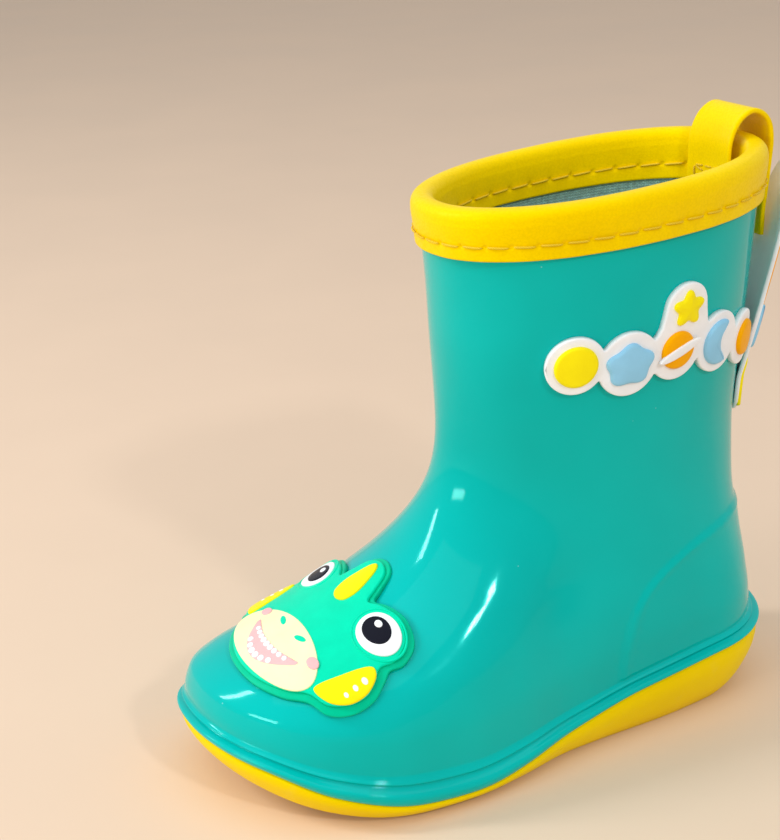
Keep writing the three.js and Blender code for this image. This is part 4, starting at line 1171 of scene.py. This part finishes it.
def plate(lay, outline, low, high, edge=0.4, crown=0.0, hoops=8, spine=None):
    """A soft moulded plate: its outline goes straight up from low, rounds over by a quarter
    circle of radius edge, and closes by hoops that shrink to a point (or to a spine line, given
    as a function of u, for a long outline) while a parabola adds the crown. Returns its points
    and faces."""
    outline = np.array(outline, float)
    count = len(outline)
    run = np.roll(outline, -1, 0) - np.roll(outline, 1, 0)
    area = np.sum(outline[:, 0] * np.roll(outline[:, 1], -1)
                  - np.roll(outline[:, 0], -1) * outline[:, 1])
    inward = unit(np.stack([-run[:, 1], run[:, 0]], -1)) * np.sign(area)
    bend = np.linspace(0, math.pi / 2, 5)
    inset = np.concatenate([[0, 0], edge * (1 - np.cos(bend[1:]))])
    height = np.concatenate([[low, high - edge], high - edge + edge * np.sin(bend[1:])])
    rim = outline[None] + inward[None] * inset[:, None, None]
    if spine is None:
        meet = np.zeros(count, int)
        targets = outline.mean(0)[None]
    else:
        meet = np.minimum(np.arange(count), (count - np.arange(count)) % count)
        along_spine = outline[:meet.max() + 1, 0]
        targets = np.stack([along_spine, spine(along_spine)], -1)
    share = 1 - np.linspace(0, 1, hoops + 1)[1:-1]
    top = targets[meet][None] + (rim[-1] - targets[meet])[None] * share[:, None, None]
    top_height = high + crown * (1 - share ** 2)
    under_share = np.array([0.3, 0.65])  # shares of the outline's reach, nearest the middle first
    under = targets[meet][None] + (outline - targets[meet])[None] * under_share[:, None, None]
    rows = np.concatenate([under, rim, top])
    heights = np.concatenate([np.full(2, low), height, top_height])
    flat = lay(rows[..., 0], rows[..., 1], np.broadcast_to(heights[:, None], rows.shape[:2]))
    ends = [lay(targets[:, 0], targets[:, 1], np.full(len(targets), at))
            for at in (low, high + crown)]
    points = np.concatenate([flat.reshape(-1, 3), *ends])
    faces, _ = grid_faces(len(rows), count)
    first = len(rows) * count
    side = np.arange(count)
    following = (side + 1) % count
    last = (len(rows) - 1) * count
    merged = meet[following] == meet[side]
    closing = []
    for base, start, order in ((0, first, -1), (last, first + len(targets), 1)):
        quad = np.stack([base + side, base + following, start + meet[following],
                         start + meet[side]], -1)
        closing += [quad[~merged][:, ::order], quad[merged][:, :3][:, ::order]]
    return points, [faces] + [block for block in closing if len(block)]


def bead(lay, line, out, radius):
    """A fine raised line: a round bead carried along a closed flat line laid on the boot."""
    line = np.array(line, float)
    run = unit(np.roll(line, -1, 0) - np.roll(line, 1, 0))
    across = np.stack([-run[:, 1], run[:, 0]], -1)
    turns = turn(10)
    side = line[None] + across[None] * (radius * np.cos(turns))[:, None, None]
    height = np.broadcast_to((out + radius * np.sin(turns))[:, None], side.shape[:2])
    points = lay(side[..., 0], side[..., 1], height)
    faces, _ = grid_faces(len(turns), len(line), wrap_rows=True)
    return points.reshape(-1, 3), [faces]


def patch_piece(name, parts, material, nodes):
    """Joins plates and beads into one piece."""
    points, blocks, start = [], {}, 0
    for part_points, part_blocks in parts:
        outward = 1 if signed_volume(part_points, part_blocks) > 0 else -1
        for block in part_blocks:
            blocks.setdefault(block.shape[1], []).append(block[:, ::outward] + start)
        points.append(part_points)
        start += len(part_points)
    faces = [np.concatenate(blocks[size]) for size in sorted(blocks)]
    piece = make_mesh(name, np.concatenate(points), faces)
    return finish_piece(piece, material, nodes)


# ---------------------------------------------------------------- flat outlines
def ellipse(u, v, reach_u, reach_v, count=64, tilt=0.0):
    """An ellipse turned by tilt."""
    angle = turn(count)
    a, b = reach_u * np.cos(angle), reach_v * np.sin(angle)
    return np.stack([u + a * math.cos(tilt) - b * math.sin(tilt),
                     v + a * math.sin(tilt) + b * math.cos(tilt)], -1)


def wavy(u, v, reach_u, reach_v, waves, depth, tilt=0.0, count=120):
    """An outline whose radius waves as a cosine: deep waves make a star, shallow ones a cloud."""
    angle = turn(count)
    radius = 1 + depth * np.cos(waves * (angle - tilt))
    return np.stack([u + reach_u * radius * np.cos(angle),
                     v + reach_v * radius * np.sin(angle)], -1)


def rounded(points, count=160):
    """A smooth closed outline: a centripetal Catmull-Rom spline through points, at even
    spacing."""
    p = np.array(points, float)
    steps = 24
    parts = []
    knots = np.sqrt(np.linalg.norm(np.roll(p, -1, 0) - p, axis=1))
    before, after = np.roll(knots, 1)[:, None], np.roll(knots, -1)[:, None]
    here = knots[:, None]
    p0, p1, p2, p3 = np.roll(p, 1, 0), p, np.roll(p, -1, 0), np.roll(p, -2, 0)
    m1 = (p1 - p0) / before - (p2 - p0) / (before + here) + (p2 - p1) / here
    m2 = (p2 - p1) / here - (p3 - p1) / (here + after) + (p3 - p2) / after
    m1, m2 = m1 * here, m2 * here
    for t in np.linspace(0, 1, steps, endpoint=False):
        parts.append(p1 * (1 - 3 * t * t + 2 * t ** 3) + p2 * (3 * t * t - 2 * t ** 3)
                     + m1 * t * (1 - t) ** 2 - m2 * t * t * (1 - t))
    dense = np.stack(parts, 1).reshape(len(p) * steps, 2)
    closed = np.concatenate([dense, dense[:1]])
    length = np.concatenate([[0], np.cumsum(np.linalg.norm(np.diff(closed, axis=0), axis=1))])
    at = np.linspace(0, length[-1], count, endpoint=False)
    return np.stack([np.interp(at, length, closed[:, k]) for k in (0, 1)], -1)


def mirrored(side, count=200):
    """A smooth closed outline through points given for one side and mirrored in u = 0."""
    other = [(-u, v) for u, v in side[1:-1]][::-1]
    return rounded([*side, *other], count)


def crescent(u, v, radius, count=120):
    """A fat crescent: rays from a point left of the middle end at the circle or, where it comes
    first, at a bite taken out of its right side."""
    angle = turn(count)
    start, bite, bite_radius = -0.5 * radius, 0.9 * radius, 0.87 * radius

    def reach(centre, size, nearer):
        along = np.cos(angle) * (start - centre)
        inside = along ** 2 - (start - centre) ** 2 + size ** 2
        root = np.sqrt(np.maximum(inside, 0))
        hit = -along - root if nearer else -along + root
        return np.where((inside >= 0) & (hit > 0), hit, np.inf)

    length = np.minimum(reach(0, radius, False), reach(bite, bite_radius, True))
    kernel = np.array([1, 2, 3, 2, 1]) / 9
    soft = np.convolve(np.concatenate([length[-2:], length, length[:2]]), kernel, "valid")
    return np.stack([u + start + soft * np.cos(angle), v + soft * np.sin(angle)], -1)


HORN_SIDE = ((0, 18.8), (2.8, 20), (3.9, 24), (3, 29.5), (1.4, 34), (0, 35.2))
BADGE_SIDE = (
    (0, -17), (9, -15.8), (17, -11.8), (22, -7), (27, -4.6), (30, 1), (30.4, 8), (28.6, 13.6),
    (27.3, 16.8), (28, 21), (25.6, 27.4), (19.5, 30.2), (13.4, 28.8), (9.4, 26.8), (7.6, 30.4),
    (4.6, 36.4), (0, 38.2))
FIN_SIDE = ((20.6, -3.6), (25, -2.4), (28, 2), (28.4, 8), (26.4, 13), (24.8, 13.6), (21.9, 5))


def smile_low(u):
    """Lower edge of the mouth: a parabola."""
    return -12 + 9 * (u / 13) ** 2


def smile_high(u):
    """Upper edge of the mouth: a flatter parabola."""
    return -5.2 + 2.8 * (u / 13) ** 2


class BOOT_OT_badge(bpy.types.Operator):
    """Adds the soft badge on the toe: a friendly horned animal's face"""
    bl_idname = "boot.add_badge"
    bl_label = "Toe badge"

    def teeth(self):
        """Round teeth along both edges of the mouth, smaller towards its corners."""
        rows = ((8.8, 9, smile_high, -0.95, 1.08), (6, 6, smile_low, 1.25, 1.15))
        taper = 0.03
        return [plate(on_vamp, ellipse(u, edge(u) + inset, size - taper * abs(u),
                                       size - taper * abs(u), 28), 2.6, 3.2, 0.35, 0.1, 3)
                for reach, count, edge, inset, size in rows
                for u in np.linspace(-reach, reach, count)]

    def execute(self, context):
        look = context.scene.boot_patches
        names = ("shaded_mint", "mint", "cream", "pink", "white", "black", "lemon")
        paint = {key: soft_pvc("Badge " + key.replace("_", " "), rgba(getattr(look, key)),
                               0.3 if key == "black" else 0.4) for key in names}
        face = [(u * 0.94, v - np.sign(v - 8) * 1.6) for u, v in BADGE_SIDE]
        u = np.linspace(-1, 1, 41)
        low_lip = np.stack([12.6 * u, smile_low(12.6 * u)], -1)
        high_lip = np.stack([12.6 * u, smile_high(12.6 * u)], -1)[::-1]
        mouth = rounded(np.concatenate([low_lip[::4], high_lip[::4]]), 120)
        both = (1, -1)

        def pair(shape, *size):
            return [plate(on_vamp, shape * np.array((side, 1)), *size) for side in both]

        rings = [bead(on_vamp, ellipse(18.8 * side, 21, 7.4, 7.4, 72), 2.28, 0.32)
                 for side in both]
        dots = [plate(on_vamp, ellipse(26.1 * side, v, r, r, 16), 2.5, 2.95, 0.2, 0.05, 2)
                for side in both for v, r in ((2.8, 0.65), (6, 0.75), (9.2, 0.85))]
        sides = ("lateral", "medial")

        def both_nodes(kind):
            return [f"badge_{kind}_{side}" for side in sides]

        dot_nodes = [f"badge_dot_{side}_{k}" for side in sides for k in (1, 2, 3)]
        # Each plate's numbers after its outline: its foot and top above the wall, the radius of
        # its edge, its crown and its hoops.
        pieces = (
            # Painted shade: the rim takes the darker mint that stands for shade on its lower step.
            ("badge_rim", [plate(on_vamp, mirrored(BADGE_SIDE, 260), -0.1, 1.45, 0.45, 0, 12)],
             "shaded_mint", ["badge_base"]),
            ("badge_front", [plate(on_vamp, mirrored(face, 260), 1.3, 2.35, 0.5, 0.1, 14)]
             + rings, "mint", ["badge_face"]),
            ("badge_snout", [plate(on_vamp, ellipse(0, -4.2, 19.6, 10.2, 120), 2.2, 2.72, 0.3,
                                   0.1, 10)], "cream", ["badge_muzzle"]),
            ("badge_horn_tip", [plate(on_vamp, mirrored(HORN_SIDE, 80), 2.2, 2.95, 0.4, 0.15, 5)],
             "lemon", ["badge_horn"]),
            ("badge_fins", pair(rounded(FIN_SIDE, 90), 2.2, 2.8, 0.4, 0.1, 5), "lemon",
             both_nodes("fin")),
            ("badge_fin_dots", dots, "white", dot_nodes),
            ("badge_smile", [plate(on_vamp, mouth, 2.6, 2.9, 0.15, 0, 6)], "pink",
             ["badge_mouth"]),
            ("badge_tooth_row", self.teeth(), "white", ["badge_teeth"]),
            ("badge_eyes", pair(ellipse(18.8, 21, 6.2, 6.2, 72), 2.2, 2.75, 0.3, 0.1, 5), "white",
             both_nodes("eye")),
            ("badge_pupils", pair(ellipse(18.0, 21.2, 4, 4, 56), 2.6, 3.05, 0.25, 0.05, 4),
             "black", both_nodes("pupil")),
            ("badge_glints", pair(ellipse(17.2, 22.8, 1.1, 1.1, 24), 2.9, 3.3, 0.2, 0.05, 2),
             "white", both_nodes("glint")),
            ("badge_cheeks", pair(ellipse(15.2, 0.6, 2, 1.7, 32), 2.6, 2.98, 0.25, 0.05, 3),
             "pink", both_nodes("cheek")),
            ("badge_nostrils", pair(ellipse(5.8, 2.4, 2.2, 0.9, 32, 0.35), 2.6, 2.9, 0.12, 0,
                                    3), "mint", both_nodes("nostril")),
        )
        for name, parts, key, nodes in pieces:
            patch_piece(name, parts, paint[key], nodes)
        return {"FINISHED"}


# Each shape of the plaque: its place along the shaft, its level and its reach.
PLAQUE_SHAPES = ((-22.4, 110.5, 6), (-7.9, 108.8, 6.8), (6.3, 110, 6.3), (21.2, 108.6, 6.2),
                 (35, 106, 5.4))
PLAQUE_STAR = (8.4, 120.6, 4.8)
PLAQUE_MARGIN = 1.8
plaque_middle = curve([shape[:2] for shape in PLAQUE_SHAPES])


def plaque_outline(count=360):
    """The plaque's base: discs round each shape, joined by a soft maximum (the logarithm of a
    sum of powers), so the valleys between them are rounded. Both edges share the same u."""
    first, last = PLAQUE_SHAPES[0], PLAQUE_SHAPES[-1]
    begin = first[0] - first[2] - PLAQUE_MARGIN
    end = last[0] + last[2] + PLAQUE_MARGIN
    t = np.linspace(0, math.pi, count // 2 + 1)
    u = (begin + end) / 2 - (end - begin) / 2 * np.cos(t)
    soft, fall, least = 0.45, 5, 0.05

    def edge(shapes, sign):
        reach = []
        for s, level, size in shapes:
            radius, away = size + PLAQUE_MARGIN, np.abs(u - s)
            rise = np.sqrt(np.maximum(radius ** 2 - away ** 2, 0))
            reach.append(sign * (level - plaque_middle(u)) + rise
                         - fall * np.maximum(away - radius, 0))
        reach = np.array(reach)
        return soft * np.log(np.exp(reach / soft).sum(0))

    upper = plaque_middle(u) + np.maximum(edge([*PLAQUE_SHAPES, PLAQUE_STAR], 1), least)
    lower = plaque_middle(u) - np.maximum(edge(PLAQUE_SHAPES, -1), least)
    upper[[0, -1]] = lower[[0, -1]] = plaque_middle(u[[0, -1]])
    low = np.stack([u, lower], -1)
    high = np.stack([u, upper], -1)[::-1]
    return np.concatenate([low, high[1:-1]])


class BOOT_OT_plaque(bpy.types.Operator):
    """Adds the soft plaque on the shaft: a moon, a cloud, a ringed planet with a star, a
    crescent and a ball"""
    bl_idname = "boot.add_plaque"
    bl_label = "Shaft plaque"

    def execute(self, context):
        look = context.scene.boot_patches
        paint = {key: soft_pvc("Plaque " + key, rgba(getattr(look, key)))
                 for key in ("white", "lemon", "sky", "orange")}
        high = look.shape_height / MM
        moon, cloud, planet, bite, ball = (shape[:2] for shape in PLAQUE_SHAPES)

        def puffy(outline, hoops=7):
            return plate(on_shaft, outline, 1.4, high - 0.25, 0.9, 0.25, hoops)

        ring = [plate(on_shaft, ellipse(*planet, 6.4, 1.3, 72, 0.35), high - 0.6, high + 0.35,
                      0.3, 0.05, 4)]
        pieces = (
            ("plaque_backing", [plate(on_shaft, plaque_outline(), -0.1, 1.6, 0.5, 0, 10,
                                      plaque_middle)], "white", ["plaque_base"]),
            ("plaque_full_moon", [puffy(ellipse(*moon, 5.6, 5.6))], "lemon", ["plaque_moon"]),
            ("plaque_puff_cloud", [puffy(wavy(*cloud, 6.4, 5.4, 5, 0.09, 0.3))], "sky",
             ["plaque_cloud"]),
            ("plaque_orb", [puffy(ellipse(*planet, 5, 5))], "orange", ["plaque_planet"]),
            ("plaque_orb_ring", ring, "white", ["plaque_ring"]),
            ("plaque_new_moon", [puffy(crescent(*bite, 5.9))], "sky", ["plaque_crescent"]),
            ("plaque_round_ball", [puffy(ellipse(*ball, 4.7, 4.7))], "orange", ["plaque_ball"]),
            ("plaque_small_star", [puffy(wavy(PLAQUE_STAR[0], PLAQUE_STAR[1], 4, 4, 5, 0.2,
                                              math.pi / 2))], "lemon", ["plaque_star"]),
        )
        for name, parts, key, nodes in pieces:
            patch_piece(name, parts, paint[key], nodes)
        return {"FINISHED"}


class BOOT_OT_rocket(bpy.types.Operator):
    """Adds the rocket patch, which is fixed at its foot and stands away from the shaft"""
    bl_idname = "boot.add_rocket"
    bl_label = "Rocket patch"

    def execute(self, context):
        look = context.scene.boot_patches
        paint = {key: soft_pvc("Rocket " + key, rgba(getattr(look, key)))
                 for key in ("white", "lemon", "sky", "orange")}
        outline = ((0, 80), (5, 82), (8.4, 88), (9.2, 97), (9.4, 106), (7.4, 116), (6.8, 128),
                   (5.6, 138), (3, 146), (0, 149.5))
        body = ((0, 100), (4.4, 101.4), (4.8, 112), (4.8, 124), (4, 134), (0, 135.5))
        nose = ((0, 137), (3.2, 137.8), (2.6, 141.5), (1.4, 145.4), (0, 146.8))
        fin = np.array(((5.8, 99.5), (7.6, 101), (7.5, 106), (6.1, 111.5)))
        # The flame has three tongues along a cosine below and a shallow parabola above.
        u = np.linspace(-5.9, 5.9, 25)
        foot = np.stack([u, 86 - 3.6 * np.cos(u * 1.15)], -1)
        crown = np.stack([u, 97.5 - 0.06 * u * u], -1)[::-1]
        flame = rounded(np.concatenate([foot, crown[::4]]), 140)

        def puffy(shape, hoops=6):
            return plate(on_rocket, shape, 1.3, 2.4, 0.6, 0.2, hoops)

        pieces = (
            ("rocket_backing", [plate(on_rocket, mirrored(outline, 200), 0.3, 1.5, 0.45, 0, 10)],
             "white", ["rocket_base"]),
            ("rocket_fire", [puffy(flame)], "lemon", ["rocket_flame"]),
            ("rocket_hull", [puffy(mirrored(body, 140))], "orange", ["rocket_body"]),
            ("rocket_cone", [puffy(mirrored(nose, 90), 4)], "lemon", ["rocket_nose"]),
            ("rocket_porthole", [plate(on_rocket, ellipse(0, 124, 2.6, 2.6, 40), 2.2, 3.2, 0.35,
                                       0.1, 3)], "white", ["rocket_window"]),
            ("rocket_stripe", [plate(on_rocket, ellipse(0, 108, 3.8, 1.2, 48), 2.2, 3.2, 0.35,
                                     0.05, 3)], "sky", ["rocket_band"]),
            ("rocket_fins", [puffy(rounded(fin * np.array((side, 1)), 60), 3)
                             for side in (-1, 1)], "sky",
             ["rocket_fin_lateral", "rocket_fin_medial"]),
        )
        for name, parts, key, nodes in pieces:
            patch_piece(name, parts, paint[key], nodes)
        return {"FINISHED"}


# ---------------------------------------------------------------- stage
class BOOT_OT_stage(bpy.types.Operator):
    """Adds the pale floor, the soft boxes and the light from all round"""
    bl_idname = "boot.add_stage"
    bl_label = "Stage"

    def light(self, context, name, place, target, size, power, colour):
        data = bpy.data.lights.new(name, "AREA")
        data.shape = "RECTANGLE"
        data.size, data.size_y = size
        data.energy = power
        data.color = colour
        lamp = bpy.data.objects.new(name, data)
        context.scene.collection.objects.link(lamp)
        back = unit(np.array(place, float) - np.array(target, float))
        right = unit(np.cross((0, 0, 1), back))
        matrix = np.eye(4)
        matrix[:3, :3] = np.stack([right, np.cross(back, right), back], 1)
        matrix[:3, 3] = place
        lamp.matrix_world = Matrix(matrix.tolist())

    def execute(self, context):
        look = context.scene.boot_stage
        reach = 6.0
        corners = [(-reach, -reach, 0), (reach, -reach, 0), (reach, reach, 0), (-reach, reach, 0)]
        mesh = bpy.data.meshes.new("floor")
        mesh.from_pydata(corners, [], [(0, 1, 2, 3)])
        floor = bpy.data.objects.new("floor", mesh)
        context.scene.collection.objects.link(floor)
        mesh.materials.append(pale_floor("Studio floor", rgba(look.floor_colour)))
        world = bpy.data.worlds.new("studio")
        world.use_nodes = True
        sky = world.node_tree.nodes["Background"]
        sky.inputs["Color"].default_value = (0.96, 0.98, 1.0, 1)
        sky.inputs["Strength"].default_value = look.world_strength
        context.scene.world = world
        context.scene.view_settings.view_transform = "Standard"
        power = look.key_power
        # Each soft box: name, compass direction, height angle, distance, size and power share.
        boxes = (("front_box", -26, 34, 1.3, (0.1, 0.6), 0.9),
                 ("side_box", 97, 38, 1.1, (0.08, 0.08), 0.3),
                 ("toe_box", 12, 15, 1.2, (0.4, 0.16), 0.45),
                 ("top_box", 40, 78, 1.3, (1.4, 1.4), 0.75))
        for name, azimuth, height, distance, size, share in boxes:
            a, e = math.radians(azimuth), math.radians(height)
            away = np.array((math.sin(a) * math.cos(e), -math.cos(a) * math.cos(e), math.sin(e)))
            middle = np.array((0, -0.02, 0.06))
            self.light(context, name, middle + away * distance, middle, size, power * share,
                       (1, 1, 1))
        return {"FINISHED"}


OPERATORS = (BOOT_OT_camera, BOOT_OT_upper, BOOT_OT_outsole, BOOT_OT_lining, BOOT_OT_footbed,
             BOOT_OT_collar, BOOT_OT_stitches, BOOT_OT_pull_strap, BOOT_OT_badge,
             BOOT_OT_plaque, BOOT_OT_rocket, BOOT_OT_stage)


class BOOT_PT_panel(bpy.types.Panel):
    """Lists the boot's pieces, sizes and colours"""
    bl_idname = "BOOT_PT_panel"
    bl_label = "Rain boot"
    bl_space_type = "VIEW_3D"
    bl_region_type = "UI"
    bl_category = "Boot"

    def draw(self, context):
        column = self.layout.column(align=True)
        for operator in OPERATORS:
            column.operator(operator.bl_idname)
        for group in ("boot", "boot_patches", "boot_stage"):
            settings = getattr(context.scene, group)
            box = self.layout.box()
            for key in settings.bl_rna.properties.keys():
                if key not in ("rna_type", "name"):
                    box.prop(settings, key)


CLASSES = (BootSettings, PatchSettings, StageSettings, *OPERATORS, BOOT_PT_panel)


def register():
    for cls in CLASSES:
        bpy.utils.register_class(cls)
    bpy.types.Scene.boot = bpy.props.PointerProperty(type=BootSettings)
    bpy.types.Scene.boot_patches = bpy.props.PointerProperty(type=PatchSettings)
    bpy.types.Scene.boot_stage = bpy.props.PointerProperty(type=StageSettings)


def unregister():
    del bpy.types.Scene.boot, bpy.types.Scene.boot_patches, bpy.types.Scene.boot_stage
    for cls in reversed(CLASSES):
        bpy.utils.unregister_class(cls)


def main():
    register()
    for operator in OPERATORS:
        group, name = operator.bl_idname.split(".")
        getattr(getattr(bpy.ops, group), name)()


if __name__ == "__main__":
    main()
